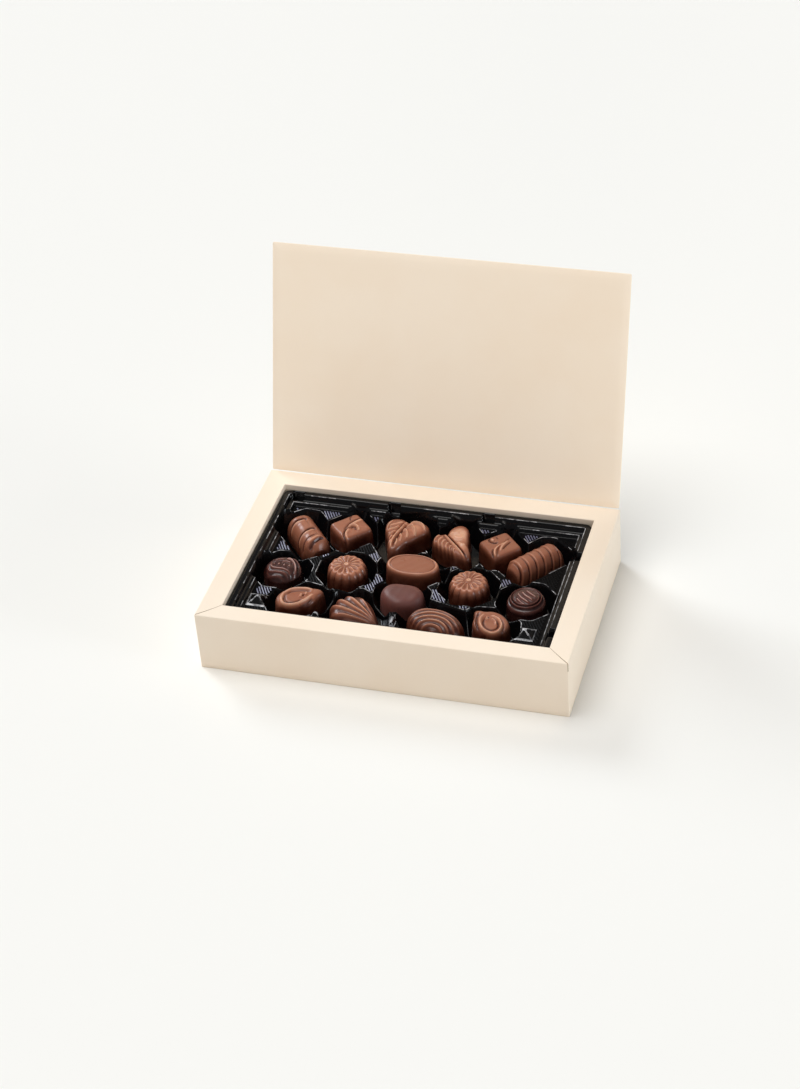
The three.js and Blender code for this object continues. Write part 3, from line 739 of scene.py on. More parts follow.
def rimmedRelief(cast, x, y, share):
    edge = (share - cast["rimShare"]) / cast["rimSoft"]
    groove = cast["groove"]
    line = groove["depth"] * bump(share, cast["rimShare"] - groove["inside"], groove["width"])
    return -line - cast["recess"] / (1 + np.exp(np.clip(edge, -50, 50)))


def castOval(name, cast, power, relief):
    castBody(name, cast, superellipse(cast["length"] / 2, cast["width"] / 2, power), relief)


castOval("oval_rimmed", ovalRimmed, 2.1, rimmedRelief)

pebbleDark = {
    "x": -0.7, "y": -22.8, "turn": -88, "radius": 12.6, "wide": 1.5, "blunt": 0.5,
    "corners": 0.95, "cornerTurn": 115, "height": 15, "taper": 0.07, "square": 4.8,
    "puffs": [(-1.5, 6.5, (8, -31)), (0.1, 6, (-3, -22))],
}


def pebbleOutline(angle):
    wide = pebbleDark["wide"] * np.cos(2 * angle)
    corners = pebbleDark["corners"] * np.cos(3 * (angle - math.radians(pebbleDark["cornerTurn"])))
    return pebbleDark["radius"] - wide - pebbleDark["blunt"] * np.cos(angle) + corners


castBody("pebble_dark", pebbleDark, pebbleOutline, puffed, dull)

dropLooped = {
    "x": -62.2, "y": -39.4, "turn": 33, "length": 28, "width": 21, "height": 15.4, "point": 4.4,
    "pointWidth": 0.24, "taper": 0.08, "square": 9, "sink": 0.25,
    "lines": [
        (0.8, 1.2, [(-70.6, -37.5), (-70.8, -43), (-68, -47.9), (-63, -48.4), (-58.6, -46), (-55, -41.4),
                    (-52.6, -36)]),
        (-0.7, 0.8, [(-68.8, -39), (-68.4, -44), (-65.4, -46.4), (-61, -45.2), (-57.6, -41.8)]),
        (-0.9, 0.9, [(-70, -49.4), (-65, -51.2), (-59, -49.4), (-54.4, -45), (-51.6, -39.4)]),
        (0.6, 1.2, [(-70.4, -38.5), (-67, -33.8), (-60.4, -31.8), (-53.6, -31.8)]),
        (-0.5, 0.8, [(-68.8, -39.5), (-66, -36), (-60.4, -33.8), (-54.6, -33.6)]),
        (1.0, 0.8, [(-59.5, -40.4), (-59.2, -37.8)]),
        (0.9, 0.7, [(-57.2, -37.6), (-56.6, -35.6)]),
        (-0.7, 0.6, [(-58.3, -39), (-57.9, -36.6)]),
    ],
}

dropCurled = {
    "x": 60, "y": -40.4, "turn": 141, "length": 24.5, "width": 22, "height": 15.4, "point": 4.6,
    "pointWidth": 0.24, "taper": 0.08, "square": 9, "sink": 0.25,
    "lines": [
        (-1.0, 0.75, [(51.2, -32.6), (50.8, -38), (52.2, -44), (55.4, -49.2), (60, -52)]),
        (0.8, 0.9, [(54.3, -34), (53.3, -39), (54.6, -44.4), (58, -48.7), (62.5, -50.3), (66.2, -48.4),
                    (67.4, -44), (66, -39.6), (62.6, -36), (59, -34.6)]),
        (-0.8, 0.65, [(56, -36.4), (55.6, -41), (57.5, -45.4), (61.5, -47.8), (64.6, -46.2), (65.2, -43),
                      (63.4, -39.4), (60.4, -37)]),
        (1.1, 0.95, [(56.8, -39.4), (57.3, -37.8)]),
        (-0.7, 0.6, [(56, -36.4), (58.4, -36.8)]),
        (0.5, 0.7, [(60, -37.4), (62.6, -39.4), (63.8, -42.4)]),
        (-0.6, 0.6, [(61, -34.4), (66, -37.8), (68.8, -43.6), (68, -49)]),
    ],
}


def castDrop(name, cast):
    outline = superellipse(cast["length"] / 2, cast["width"] / 2, 2.3)

    def radius(angle):
        return outline(angle) + cast["point"] * bump(wrap(angle), 0, cast["pointWidth"])

    castBody(name, cast, radius, engraved)


castDrop("drop_looped", dropLooped)
castDrop("drop_curled", dropCurled)

shellFan = {
    "x": -25.2, "y": -41.8, "turn": -30, "hingeReach": 22, "edgeReach": 15.8, "halfWidth": 13.4, "ribs": 7,
    "spread": 1.3, "height": 14.6, "taper": 0.05, "square": 3.6, "rise": 1.15, "fadeRun": 16,
    "scallop": 0.055, "valley": 1.7, "valleyPower": 0.9, "hingePower": 1.25, "edgePower": 2.4,
}


def fanPhase(x, y):
    return 2 * math.pi * shellFan["ribs"] * np.arctan2(y, shellFan["hingeReach"] - x) / shellFan["spread"]


def fanOutline(angle):
    hingeSide = superellipse(shellFan["hingeReach"], shellFan["halfWidth"], shellFan["hingePower"])(angle)
    edgeSide = superellipse(shellFan["edgeReach"], shellFan["halfWidth"], shellFan["edgePower"])(angle)
    bare = np.where(np.cos(angle) > 0, hingeSide, edgeSide)
    crest = np.cos(fanPhase(bare * np.cos(angle), bare * np.sin(angle)))
    return bare * (1 + shellFan["scallop"] * np.clip(-np.cos(angle), 0, 1) * crest)


def fanRelief(cast, x, y, share):
    turn = math.radians(cast["turn"])
    dx, dy = x - cast["x"], y - cast["y"]
    u = dx * math.cos(turn) + dy * math.sin(turn)
    v = dy * math.cos(turn) - dx * math.sin(turn)
    valley = cast["valley"] * abs(np.sin(fanPhase(u, v) / 2)) ** cast["valleyPower"]
    return cast["rise"] * (1 - valley) * np.clip((cast["hingeReach"] - u) / cast["fadeRun"], 0, 1)


castBody("shell_fan", shellFan, fanOutline, fanRelief)

shellArcs = {
    "x": 25.8, "y": -42, "turn": -105, "length": 23, "width": 38.4, "height": 15, "taper": 0.05,
    "square": 3.4, "hinge": (25.2, -57), "squeeze": 0.93, "spacing": 3.45, "start": 1.4, "rise": 1.5,
    "sharp": 2.2,
}


def arcRelief(cast, x, y, share):
    hingeX, hingeY = cast["hinge"]
    reach = np.hypot((x - hingeX) * cast["squeeze"], y - hingeY)
    crest = 0.5 + 0.5 * np.cos(2 * math.pi * (reach - cast["start"]) / cast["spacing"])
    return cast["rise"] * (crest ** cast["sharp"] - 0.5)


castOval("shell_arcs", shellArcs, 2.2, arcRelief)
print("cast chocolates made")


# Fluted flowers, by Geometry Nodes: a grid is wrapped round an axis, its columns becoming the spokes and
# its rows the way from the middle of the base, up the side and over the top to the middle.

flowerRule = {
    "spokes": 281, "rows": 84, "baseRow": -0.46, "turnRow": -0.22, "reliefScale": 2.8, "borderPower": 0.45,
    "plain": 0.55,
    "middle": [(0, 0.66), (0.08, 0.84), (0.17, 0.52), (0.32, 0.52), (0.6, 0.48), (0.86, 0.8), (1, 0.5)],
    "border": [(0, 0.66), (0.08, 0.82), (0.17, 0.5), (0.34, 0.84), (0.6, 0.95), (0.84, 0.55), (1, 0.3)],
}
flowerCast = {"radius": 13.2, "height": 15.8, "petals": 14, "flute": 0.05, "taper": 0.08, "square": 5.5}
flowers = {
    "flower_left": {"x": -40.4, "y": -4.8, "turn": 0},
    "flower_right": {"x": 37.6, "y": -5.6, "turn": 8},
}


def newTree(name, inputs):
    tree = bpy.data.node_groups.new(name, "GeometryNodeTree")
    tree.interface.new_socket(name="Geometry", in_out="INPUT", socket_type="NodeSocketGeometry")
    for label, kind in inputs:
        tree.interface.new_socket(name=label, in_out="INPUT", socket_type=kind)
    tree.interface.new_socket(name="Geometry", in_out="OUTPUT", socket_type="NodeSocketGeometry")
    return tree, addNode(tree, "NodeGroupInput").outputs


# Takes the geometry through a row of nodes, each fed by the one before, to the tree's output
def finishTree(tree, geometry, material, steps):
    ending = [
        ("GeometryNodeRealizeInstances", None, {}),
        ("GeometryNodeSetMaterial", None, {"Material": material}),
        ("NodeGroupOutput", None, {}),
    ]
    for kind, settings, inputs in steps + ending:
        node = addNode(tree, kind, settings, {0: geometry, **inputs})
        geometry = node.outputs[0] if node.outputs else None


# Works through steps of (label, operation, terms). A term is a number or the label of an earlier result.
def calculate(tree, values, steps):
    for label, operation, *terms in steps:
        if operation == "MIX":
            kind, settings, places = "ShaderNodeMix", None, (0, 2, 3)
        else:
            kind, settings, places = "ShaderNodeMath", {"operation": operation}, (0, 1, 2)
        inputs = {place: values.get(term, term) for place, term in zip(places, terms)}
        values[label] = addNode(tree, kind, settings, inputs).outputs[0]


# Runs a tree on an object with the given inputs and leaves the plain mesh that comes of it
def growMesh(piece, tree, values):
    modifier = piece.modifiers.new("grow", "NODES")
    modifier.node_group = tree
    for item in tree.interface.items_tree:
        if item.in_out == "INPUT" and item.name in values:
            modifier[item.identifier] = values[item.name]
    evaluated = piece.evaluated_get(bpy.context.evaluated_depsgraph_get())
    mesh = bpy.data.meshes.new_from_object(evaluated)
    piece.modifiers.clear()
    piece.data = mesh


def flowerTree():
    names = ["Radius", "Height", "Petals", "Flute", "Taper", "Square", "Turn"]
    tree, given = newTree(
        "fluted flower", [(name, "NodeSocketFloat") for name in names] + [("Place", "NodeSocketVector")]
    )
    grid = addNode(
        tree, "GeometryNodeMeshGrid", None,
        {"Size X": 1.0, "Size Y": 1.0, "Vertices X": flowerRule["spokes"], "Vertices Y": flowerRule["rows"]},
    )
    position = addNode(tree, "GeometryNodeInputPosition")
    where = addNode(tree, "ShaderNodeSeparateXYZ", None, {0: position.outputs[0]})
    values = {name: given[name] for name in names}
    turnShare = 2 ** (-1 / flowerCast["square"])
    baseRow, turnRow = flowerRule["baseRow"], flowerRule["turnRow"]
    ranges = {
        "spin": ("X", -0.5, 0.5, 0.0, 2 * math.pi),
        "climb": ("Y", baseRow, turnRow, 0.0, turnShare),
        "close": ("Y", turnRow, 0.5, turnShare, 0.0),
        "base": ("Y", -0.5, baseRow, 0.0, 1.0),
    }
    for label, (axis, *ends) in ranges.items():
        inputs = {"Value": where.outputs[axis], **dict(zip(rangeEnds, ends))}
        values[label] = addNode(tree, "ShaderNodeMapRange", None, inputs).outputs[0]
    values["row"] = where.outputs["Y"]
    calculate(tree, values, [
        ("root", "DIVIDE", 1.0, "Square"),
        ("climbPower", "POWER", "climb", "Square"),
        ("climbLeft", "SUBTRACT", 1.0, "climbPower"),
        ("sideShare", "POWER", "climbLeft", "root"),
        ("closePower", "POWER", "close", "Square"),
        ("closeLeft", "SUBTRACT", 1.0, "closePower"),
        ("topLevel", "POWER", "closeLeft", "root"),
        ("onTop", "GREATER_THAN", "row", turnRow),
        ("bareShare", "MIX", "onTop", "sideShare", "close"),
        ("share", "MULTIPLY", "bareShare", "base"),
        ("level", "MIX", "onTop", "climb", "topLevel"),
        ("halfPetals", "MULTIPLY", "Petals", 0.5),
        ("phase", "MULTIPLY", "spin", "halfPetals"),
        ("wave", "COSINE", "phase"),
        ("petal", "ABSOLUTE", "wave"),
        ("edge", "SUBTRACT", 1.0, "petal"),
        ("drawnIn", "MULTIPLY", "Flute", "edge"),
        ("fluted", "SUBTRACT", 1.0, "drawnIn"),
        ("lean", "MULTIPLY", "Taper", "level"),
        ("narrow", "SUBTRACT", 1.0, "lean"),
        ("flutedShare", "MULTIPLY", "fluted", "narrow"),
        ("fullReach", "MULTIPLY", "flutedShare", "Radius"),
        ("reach", "MULTIPLY", "fullReach", "share"),
    ])
    for label in ("border", "middle"):
        node = addNode(tree, "ShaderNodeFloatCurve", None, {"Value": values["share"]})
        points = node.mapping.curves[0].points
        first, *between, last = flowerRule[label]
        points[0].location = first
        points[1].location = last
        for x, y in between:
            points.new(x, y)
        node.mapping.update()
        values[label] = node.outputs[0]
    calculate(tree, values, [
        ("soft", "POWER", "petal", flowerRule["borderPower"]),
        ("profile", "MIX", "soft", "border", "middle"),
        ("centred", "SUBTRACT", "profile", flowerRule["plain"]),
        ("relief", "MULTIPLY", "centred", flowerRule["reliefScale"]),
        ("levelFour", "POWER", "level", 4.0),
        ("raised", "MULTIPLY", "relief", "levelFour"),
        ("raisedSize", "MULTIPLY", "raised", mm),
        ("cosine", "COSINE", "spin"),
        ("sine", "SINE", "spin"),
        ("x", "MULTIPLY", "reach", "cosine"),
        ("y", "MULTIPLY", "reach", "sine"),
        ("z", "MULTIPLY_ADD", "level", "Height", "raisedSize"),
        # painted shade down the sides, as in the cast bodies
        ("levelSix", "POWER", "level", 6.0),
        ("topShade", "MULTIPLY_ADD", "levelSix", fullShadeRelief, "raised"),
        ("shade", "SUBTRACT", "topShade", fullShadeRelief),
    ])
    place = addNode(tree, "ShaderNodeCombineXYZ", None, {i: values[axis] for i, axis in enumerate("xyz")})
    heading = addNode(tree, "ShaderNodeCombineXYZ", None, {"Z": given["Turn"]})
    stored = {"Name": "relief", "Value": values["shade"]}
    finishTree(tree, grid.outputs["Mesh"], milk, [
        ("GeometryNodeStoreNamedAttribute", {"data_type": "FLOAT", "domain": "POINT"}, stored),
        ("GeometryNodeSetPosition", None, {"Position": place.outputs[0]}),
        ("GeometryNodeMergeByDistance", None, {"Distance": 0.001 * mm}),
        ("GeometryNodeTransform", None, {"Translation": given["Place"], "Rotation": heading.outputs[0]}),
        ("GeometryNodeSetShadeSmooth", None, {}),
    ])
    return tree


tree = flowerTree()
around = np.linspace(0, 2 * math.pi, 48, endpoint=False)
for name, cast in flowers.items():
    piece = makeObject(name + "_cast", np.zeros((1, 3)), [], milk)
    growMesh(piece, tree, {
        "Radius": flowerCast["radius"] * mm, "Height": flowerCast["height"] * mm,
        "Petals": float(flowerCast["petals"]), "Flute": flowerCast["flute"], "Taper": flowerCast["taper"],
        "Square": flowerCast["square"], "Turn": math.radians(cast["turn"]),
        "Place": (cast["x"] * mm, cast["y"] * mm, chocolateBase * mm),
    })
    settle(piece, name)
    petalRing = flowerCast["radius"] * np.cos(around), flowerCast["radius"] * np.sin(around)
    castings[name] = (cast["x"], cast["y"], 0.0, *petalRing)
print("flowers made")


# Tray

tray = {
    "gap": 0.3, "rimEdge": 0.5, "rimHeight": 37.7, "rimWidth": 4.2, "cornerRadius": 5, "ledgeHeight": 34,
    "ledgeWidth": 2.4, "stepSlope": 1, "landHeight": 31.5, "landSlope": 1.2, "pocketFloor": 20,
    "pocketFlare": 5.0, "pocketPlay": 0.7, "pocketSoft": 0.6, "pocketTop": 35.8, "underside": 1.5,
    "cell": 0.52, "roundOver": 0.5, "crown": 0.12, "crownFrom": 0.4, "rimRound": 0.28, "profileStep": 0.05,
    "flares": {
        "bar_twisted": 6, "square_hooked": 6, "square_flamed": 6, "bar_lined": 6, "pebble_dark": 3.2,
    },
}
trayEdges = (
    opening["left"] + tray["gap"], opening["right"] - tray["gap"],
    opening["front"] + tray["gap"], opening["back"] - tray["gap"],
)
notch = {"width": 6.5, "depth": 2.6, "height": 8, "slope": 12, "back": (-91, -27, 34.5), "side": (28, -46)}
posts = [
    {"x": -85.2, "y": -43.4, "width": 13, "depth": 11, "height": 4.4, "taper": 0.12},
    {"x": 81.4, "y": -43.4, "width": 12, "depth": 11, "height": 4.4, "taper": 0.12},
    {"x": -46, "y": -49.6, "width": 7, "depth": 6, "height": 2.8, "taper": 0.45},
    {"x": -1, "y": -48.6, "width": 7.5, "depth": 7.5, "height": 3.6, "taper": 0.6},
    {"x": 43.5, "y": -49.6, "width": 7, "depth": 6, "height": 2.8, "taper": 0.45},
]
# Bands along a post's edges, which carry a painted highlight, as shares of its half size, and two heights
# from the lands, in mm
postEdge = {"diagonal": 0.1, "foot": 0.9, "top": 0.08, "outside": 1.04, "above": 0.05, "landFlat": 0.2}


def softMin(a, b, room):
    h = np.clip(room - abs(a - b), 0, None) / room
    return np.minimum(a, b) - h * h * room / 4


# The height of one pocket's wall at a point: eight flaring sides that meet in soft corners
def pocketWall(name, x, y):
    px, py, turn, us, vs = castings[name]
    slope = (tray["landHeight"] - tray["pocketFloor"]) / tray["flares"].get(name, tray["pocketFlare"])
    u = (x - px) * math.cos(turn) + (y - py) * math.sin(turn)
    v = (y - py) * math.cos(turn) - (x - px) * math.sin(turn)
    soft = tray["pocketSoft"]
    total = np.zeros(x.shape)
    for side in range(8):
        angle = side * math.pi / 4
        reach = (us * math.cos(angle) + vs * math.sin(angle)).max() + tray["pocketPlay"]
        outward = u * math.cos(angle) + v * math.sin(angle) - reach
        total = total + np.exp(np.clip(outward / soft, -40, 40))
    wall = tray["pocketFloor"] + slope * soft * np.log(np.maximum(total, 1e-12))
    return np.maximum(wall, tray["pocketFloor"])


# How far a point is from a post's middle, as a share of its half width and its half depth
def postShares(post, x, y):
    return abs(x - post["x"]) / (post["width"] / 2), abs(y - post["y"]) / (post["depth"] / 2)


def trayHeights(x, y):
    left, right, front, back = trayEdges
    radius, rimWidth, land = tray["cornerRadius"], tray["rimWidth"], tray["landHeight"]
    qx = abs(x - (left + right) / 2) - (right - left) / 2 + radius
    qy = abs(y - (front + back) / 2) - (back - front) / 2 + radius
    outside = np.hypot(np.maximum(qx, 0), np.maximum(qy, 0)) + np.minimum(np.maximum(qx, qy), 0) - radius
    inset = -outside
    # the section from the rim by the ledge to the lands, rounded by a running mean
    step = rimWidth + tray["stepSlope"]
    ledge = step + tray["ledgeWidth"]
    rimEdge, rimHeight, ledgeHeight = tray["rimEdge"], tray["rimHeight"], tray["ledgeHeight"]
    marks = [-1, 0.0, rimEdge, rimWidth, step, ledge, ledge + tray["landSlope"]]
    heights = [rimHeight - rimEdge] * 2 + [rimHeight] * 2 + [ledgeHeight] * 2 + [land]
    table = np.arange(-1, 20, tray["profileStep"])
    profile = np.interp(table, marks, heights)
    reach = 12
    kernel = np.exp(-(np.arange(-reach, reach + 1) * tray["profileStep"] / tray["rimRound"]) ** 2)
    smooth = np.convolve(np.pad(profile, reach, "edge"), kernel / kernel.sum(), "valid")
    crown = np.clip((inset - tray["crownFrom"]) / (rimWidth - tray["crownFrom"]), 0, 1)
    z = np.interp(inset, table, smooth) + tray["crown"] * (np.sin(crown * math.pi) - 1) * (inset < step)
    for post in posts:
        spread = np.maximum(*postShares(post, x, y))
        rise = post["height"] * np.clip((1 - spread) / (1 - post["taper"]), 0, 1)
        z = np.where(spread > 1, z, np.maximum(z, land + rise))
    middle = (notch["depth"] - tray["stepSlope"]) / 2 - rimWidth
    for along, across, places in ((x, y - back, notch["back"]), (y, x - right, notch["side"])):
        for place in places:
            u = abs(along - place) - notch["width"] / 2
            v = abs(across - middle) - (notch["depth"] + tray["stepSlope"]) / 2
            wall = notch["slope"] * np.clip(np.maximum(u, v), 0, None)
            z = np.minimum(z, rimHeight - notch["height"] + wall)
    for name in castings:
        pocket = softMin(z, pocketWall(name, x, y), tray["roundOver"])
        z = np.where(z < tray["pocketTop"], pocket, z)
    return z


def trayInsert():
    left, right, front, back = trayEdges
    columns = int(round((right - left) / tray["cell"])) + 1
    rows = int(round((back - front) / tray["cell"])) + 1
    x, y = np.meshgrid(np.linspace(left, right, columns), np.linspace(front, back, rows))
    radius = tray["cornerRadius"]
    cx = np.clip(x, left + radius, right - radius)
    cy = np.clip(y, front + radius, back - radius)
    u, v = x - cx, y - cy
    corner = (abs(u) > 0) & (abs(v) > 0)
    pull = np.where(corner, np.maximum(abs(u), abs(v)) / np.maximum(np.hypot(u, v), 1e-9), 1)
    x, y = cx + u * pull, cy + v * pull
    z = trayHeights(x, y)
    index = np.arange(rows * columns).reshape(rows, columns)
    a, b = index[:-1, :-1], index[:-1, 1:]
    c, d = index[1:, 1:], index[1:, :-1]
    faces = np.stack([a, b, c, d], 2).reshape(-1, 4).tolist()
    topFaces = len(faces)
    loop = np.concatenate([index[0, :-1], index[:-1, -1], index[-1, :0:-1], index[:0:-1, 0]])
    points = np.stack([x, y, z], 2).reshape(-1, 3)
    low = points[loop].copy()
    low[:, 2] = tray["underside"]
    start, count = len(points), len(loop)
    points = np.concatenate([points, low, [[0, 0, tray["underside"]]]])
    i = np.arange(count)
    j = (i + 1) % count
    faces += np.stack([start + i, start + j, loop[j], loop[i]], 1).tolist()
    faces += np.stack([np.full(count, start + count), start + j, start + i], 1).tolist()
    piece = makeObject("formed_tray", points, faces, plastic)
    piece.data.materials.append(highlightPainted)
    piece.data.materials.append(sanded)
    # the lands are sanded, and the edges of the posts carry a painted highlight
    middle = points[np.array(faces[:topFaces])].mean(1)
    slots = np.zeros(len(faces), dtype=np.int32)
    aboveLand = middle[:, 2] - tray["landHeight"]
    slots[:topFaces] = 2 * (abs(aboveLand) < postEdge["landFlat"])
    for post in posts:
        u, v = postShares(post, middle[:, 0], middle[:, 1])
        spread = np.maximum(u, v)
        edge = (abs(u - v) < postEdge["diagonal"]) | (spread > postEdge["foot"])
        edge |= spread < post["taper"] + postEdge["top"]
        slots[:topFaces][edge & (spread < postEdge["outside"]) & (aboveLand > postEdge["above"])] = 1
    piece.data.polygons.foreach_set("material_index", slots)
    return piece


insert = trayInsert()
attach(insert, "box")
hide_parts("tray")
print("tray made")


# Ribs formed in the tray's lands: straight lines are cut to what lies on a land, and a tree thickens them.
# In patches they carry a painted sheen, a pale grey-violet for the light they catch, and elsewhere they are
# black.

ribs = {
    "heading": -60, "pitch": 1.6, "radius": 0.48, "sides": 8, "sink": 0.12, "margin": 0.8, "least": 1.4,
    "side": 90.5, "front": -52.6, "back": 51.5, "flat": 0.12, "step": 0.25, "halfLength": 130,
    "halfSpread": 120,
    # the patches where the ribs carry painted sheen, each (x, y, reach)
    "sheenPatches": [
        (-87, 47, 8.5), (-64, 49.5, 11), (-30.5, 46, 10), (6, 49.5, 9), (33, 48.5, 9), (70.5, 50, 11),
        (-87.5, 6, 11), (-52, 9, 9), (-18, -13, 11), (19.5, -23, 11), (43.6, -27, 8), (59.7, -3, 9),
        (24.7, 7.6, 9), (-81.6, -34, 9), (-42.6, -26, 9), (-24, 8, 9), (14, -44, 6),
    ],
}


def ribLines(inSheenPatch):
    heading = math.radians(ribs["heading"])
    dx, dy = math.cos(heading), math.sin(heading)
    height = tray["landHeight"] - ribs["sink"]
    points, edges = [], []
    along = np.arange(-ribs["halfLength"], ribs["halfLength"], ribs["step"])
    for offset in np.arange(-ribs["halfSpread"], ribs["halfSpread"], ribs["pitch"]):
        x, y = along * dx - offset * dy, along * dy + offset * dx
        sheenPatch = np.zeros(x.shape, dtype=bool)
        for px, py, reach in ribs["sheenPatches"]:
            sheenPatch |= np.hypot(x - px, y - py) < reach
        inside = (sheenPatch == inSheenPatch) & (abs(x) < ribs["side"]) & (y > ribs["front"]) & (y < ribs["back"])
        onLand = inside & (abs(trayHeights(x, y) - tray["landHeight"]) < ribs["flat"])
        for start, stop in trueRuns(onLand):
            first, last = along[start] + ribs["margin"], along[stop - 1] - ribs["margin"]
            if last - first < ribs["least"]:
                continue
            for place in (first, last):
                points.append((place * dx - offset * dy, place * dy + offset * dx, height))
            edges.append((len(points) - 2, len(points) - 1))
    return points, edges


# Thin beads of painted highlight where the sheet turns over a fold: round the pockets, and inside the rim
# and the ledge. They are kept in stretches, as the wave says, and all along the right side.
beads = {
    "radius": 0.22, "sides": 6, "sink": 0.02, "wave": 23.0, "level": -0.4, "outside": 0.9, "least": 4,
    "front": -53.5, "right": 88, "flat": 0.25, "foldSteps": {"corner": 4, "side": 70},
    "spokes": 180, "farthest": 40.0, "halvings": 24, "fromFold": 0.1, "insideFold": 0.9, "leastCorner": 0.4,
}


def highlightBeadLines():
    points, edges = [], []
    wave = 2 * math.pi / beads["wave"]

    def follow(x, y, z, outX, outY):
        # the painted highlight is kept where the wave says, and all along the right side
        white = np.sin(wave * (x + 0.6 * y)) + np.sin(wave * 1.4 * (y - 0.4 * x)) > beads["level"]
        white |= x > beads["right"]
        kept = white & (abs(trayHeights(outX, outY) - z) < beads["flat"]) & (y > beads["front"])
        for start, stop in trueRuns(kept):
            if stop - start < beads["least"]:
                continue
            first = len(points)
            points.extend((x[i], y[i], z - beads["sink"]) for i in range(start, stop))
            edges.extend((i, i + 1) for i in range(first, len(points) - 1))

    # where each pocket's wall meets the lands, found by halving
    spin = np.linspace(0, 2 * math.pi, beads["spokes"])
    for name, (px, py, *_) in castings.items():
        near, far = np.zeros(spin.shape), np.full(spin.shape, beads["farthest"])
        for _ in range(beads["halvings"]):
            middle = (near + far) / 2
            wall = pocketWall(name, px + middle * np.cos(spin), py + middle * np.sin(spin))
            near = np.where(wall < tray["landHeight"], middle, near)
            far = np.where(wall < tray["landHeight"], far, middle)
        out = far + beads["outside"]
        follow(
            px + far * np.cos(spin), py + far * np.sin(spin), tray["landHeight"],
            px + out * np.cos(spin), py + out * np.sin(spin),
        )
    left, right, front, back = trayEdges
    ledgeEnd = tray["rimWidth"] + tray["stepSlope"] + tray["ledgeWidth"]
    folds = [(tray["rimWidth"], tray["rimHeight"] - 0.1), (ledgeEnd, tray["ledgeHeight"] - 0.05)]
    for fold, height in folds:
        rings = []
        for inset in (fold - beads["fromFold"], fold - beads["insideFold"]):
            rings.append(rectangleRing(
                left + inset, right - inset, front + inset, back - inset,
                max(tray["cornerRadius"] - inset, beads["leastCorner"]), height, beads["foldSteps"],
            ))
        follow(rings[0][:, 0], rings[0][:, 1], height, rings[1][:, 0], rings[1][:, 1])
    return points, edges


def tubeTree(material):
    tree, given = newTree("tubes", [("Radius", "NodeSocketFloat"), ("Sides", "NodeSocketInt")])
    profile = addNode(
        tree, "GeometryNodeCurvePrimitiveCircle", None,
        {"Resolution": given["Sides"], "Radius": given["Radius"]},
    )
    finishTree(tree, given["Geometry"], material, [
        ("GeometryNodeMeshToCurve", None, {}),
        ("GeometryNodeCurveToMesh", None, {"Profile Curve": profile.outputs[0], "Fill Caps": True}),
        ("GeometryNodeSetShadeSmooth", None, {"Shade Smooth": False}),
    ])
    return tree


def growTubes(name, lines, size, material):
    points, edges = lines
    piece = makeObject(name, points, [], None, edges)
    growMesh(piece, tubeTree(material), {"Radius": size["radius"] * mm, "Sides": size["sides"]})
    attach(piece, "box")


# The pale ribs carry painted sheen and the fold beads a painted highlight
growTubes("land_ribs_sheen_painted", ribLines(True), ribs, sheenPainted)
growTubes("black_ribs", ribLines(False), ribs, sanded)
growTubes("fold_highlight_beads", highlightBeadLines(), beads, highlightPainted)
print("ribs and beads made")


# Floor, light and camera

# A softbox overhead, a window behind on the left, low white boards in front and on the right, and a
# board in front that lights the lid alone
lights = {
    "softbox": {"from": (-0.25, -0.07, 0.965), "energy": 2.04, "angle": 46, "colour": (1.0, 0.99, 0.975)},
    "window": {"from": (-0.666, 0.51, 0.545), "energy": 1.25, "angle": 22, "colour": (0.88, 0.94, 1.0)},
    "frontBoard": {"from": (0.1, -0.99, 0.09), "energy": 0.41, "angle": 20, "colour": (1.0, 0.94, 0.9)},
    "sideBoard": {"from": (0.99, -0.1, 0.09), "energy": 1.5, "angle": 20, "colour": (0.86, 0.93, 1.0)},
    "lidBoard": {"from": (0.3, -0.9, 0.35), "energy": 0.41, "angle": 30, "colour": (1.0, 0.96, 0.88)},
}
surroundings = {"floor": "#f2f1ec", "half": 4000, "below": 0.1, "air": "#fbfaff", "airGlow": 0.2}


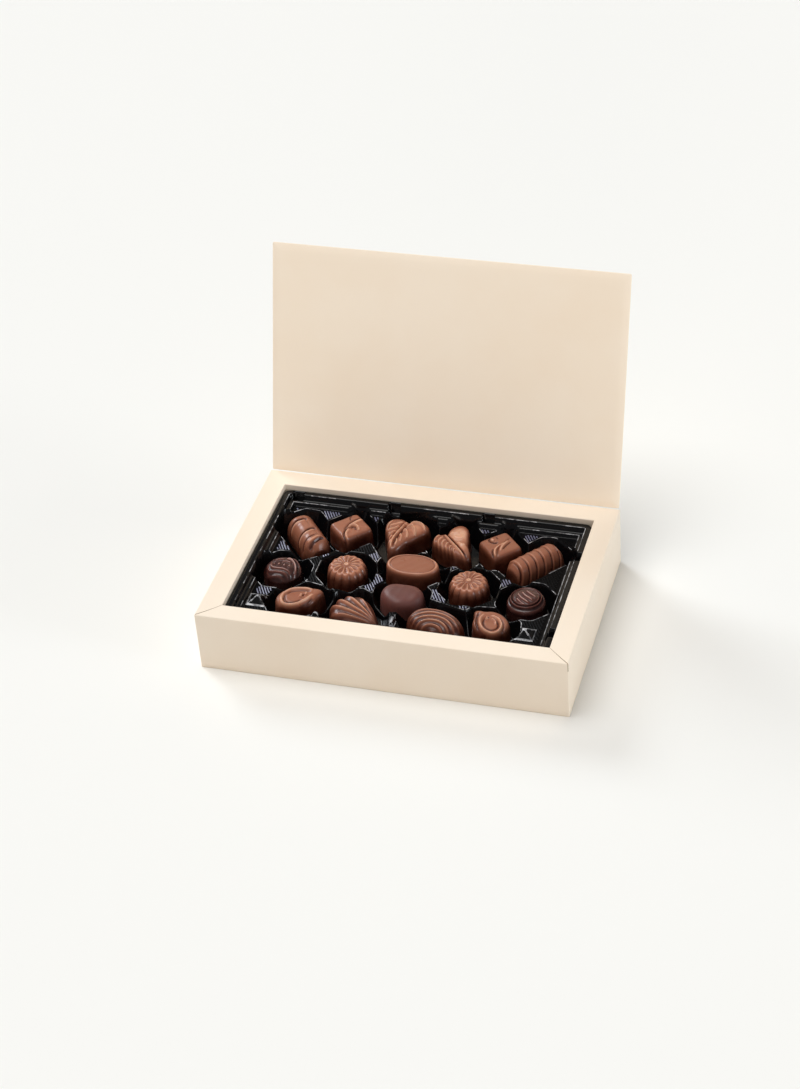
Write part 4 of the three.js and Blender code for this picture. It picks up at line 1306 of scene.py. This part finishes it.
def studio():
    # Matt painted board
    look = {"colour": surroundings["floor"], "values": {"Roughness": 0.9, "Specular IOR Level": 0.1}}
    half, z = surroundings["half"], -surroundings["below"]
    corners = [(-half, -half, z), (half, -half, z), (half, half, z), (-half, half, z)]
    floor = makeObject("floor", corners, [(0, 1, 2, 3)], makeMaterial("matt painted board", look))
    world = bpy.data.worlds.new("studio")
    world.use_nodes = True
    background = world.node_tree.nodes["Background"]
    background.inputs["Color"].default_value = linear(surroundings["air"])
    background.inputs["Strength"].default_value = surroundings["airGlow"]
    bpy.context.scene.world = world
    for name, light in lights.items():
        data = bpy.data.lights.new(name, "SUN")
        data.energy, data.color = light["energy"], light["colour"]
        data.angle = math.radians(light["angle"])
        lamp = addObject(name, data)
        lamp.rotation_euler = Vector(light["from"]).to_track_quat("Z", "Y").to_euler()
    # the board behind the camera is flagged off everything but the lid
    lit = bpy.data.collections.new("lit_by_lid_board")
    lit.objects.link(panel)
    bpy.data.objects["lidBoard"].light_linking.receiver_collection = lit
    bpy.context.scene.view_settings.view_transform = "Standard"


view = {
    "azimuth": 18.3796, "elevation": 37.6728, "roll": -4.5559, "target": (-27.9686, 65.201),
    "distance": 1570.8166, "focalPixels": 2431.3452, "photoHeight": 1089, "sensor": 36,
}


def setCamera():
    azimuth, elevation = math.radians(view["azimuth"]), math.radians(view["elevation"])
    roll = math.radians(view["roll"])
    flat = math.cos(elevation)
    away = Vector((math.sin(azimuth) * flat, -math.cos(azimuth) * flat, math.sin(elevation)))
    right = Vector((math.cos(azimuth), math.sin(azimuth), 0))
    up = away.cross(right)
    rolledRight = math.cos(roll) * right + math.sin(roll) * up
    rolledUp = math.cos(roll) * up - math.sin(roll) * right
    place = (Vector((*view["target"], 0)) + away * view["distance"]) * mm
    data = bpy.data.cameras.new("camera")
    data.sensor_width = view["sensor"]
    data.lens = view["focalPixels"] * view["sensor"] / view["photoHeight"]
    data.clip_end = 20
    camera = addObject("camera", data)
    rotation = Matrix((rolledRight, rolledUp, away)).transposed().to_4x4()
    camera.matrix_world = Matrix.Translation(place) @ rotation
    bpy.context.scene.camera = camera


studio()
setCamera()
print("studio made")
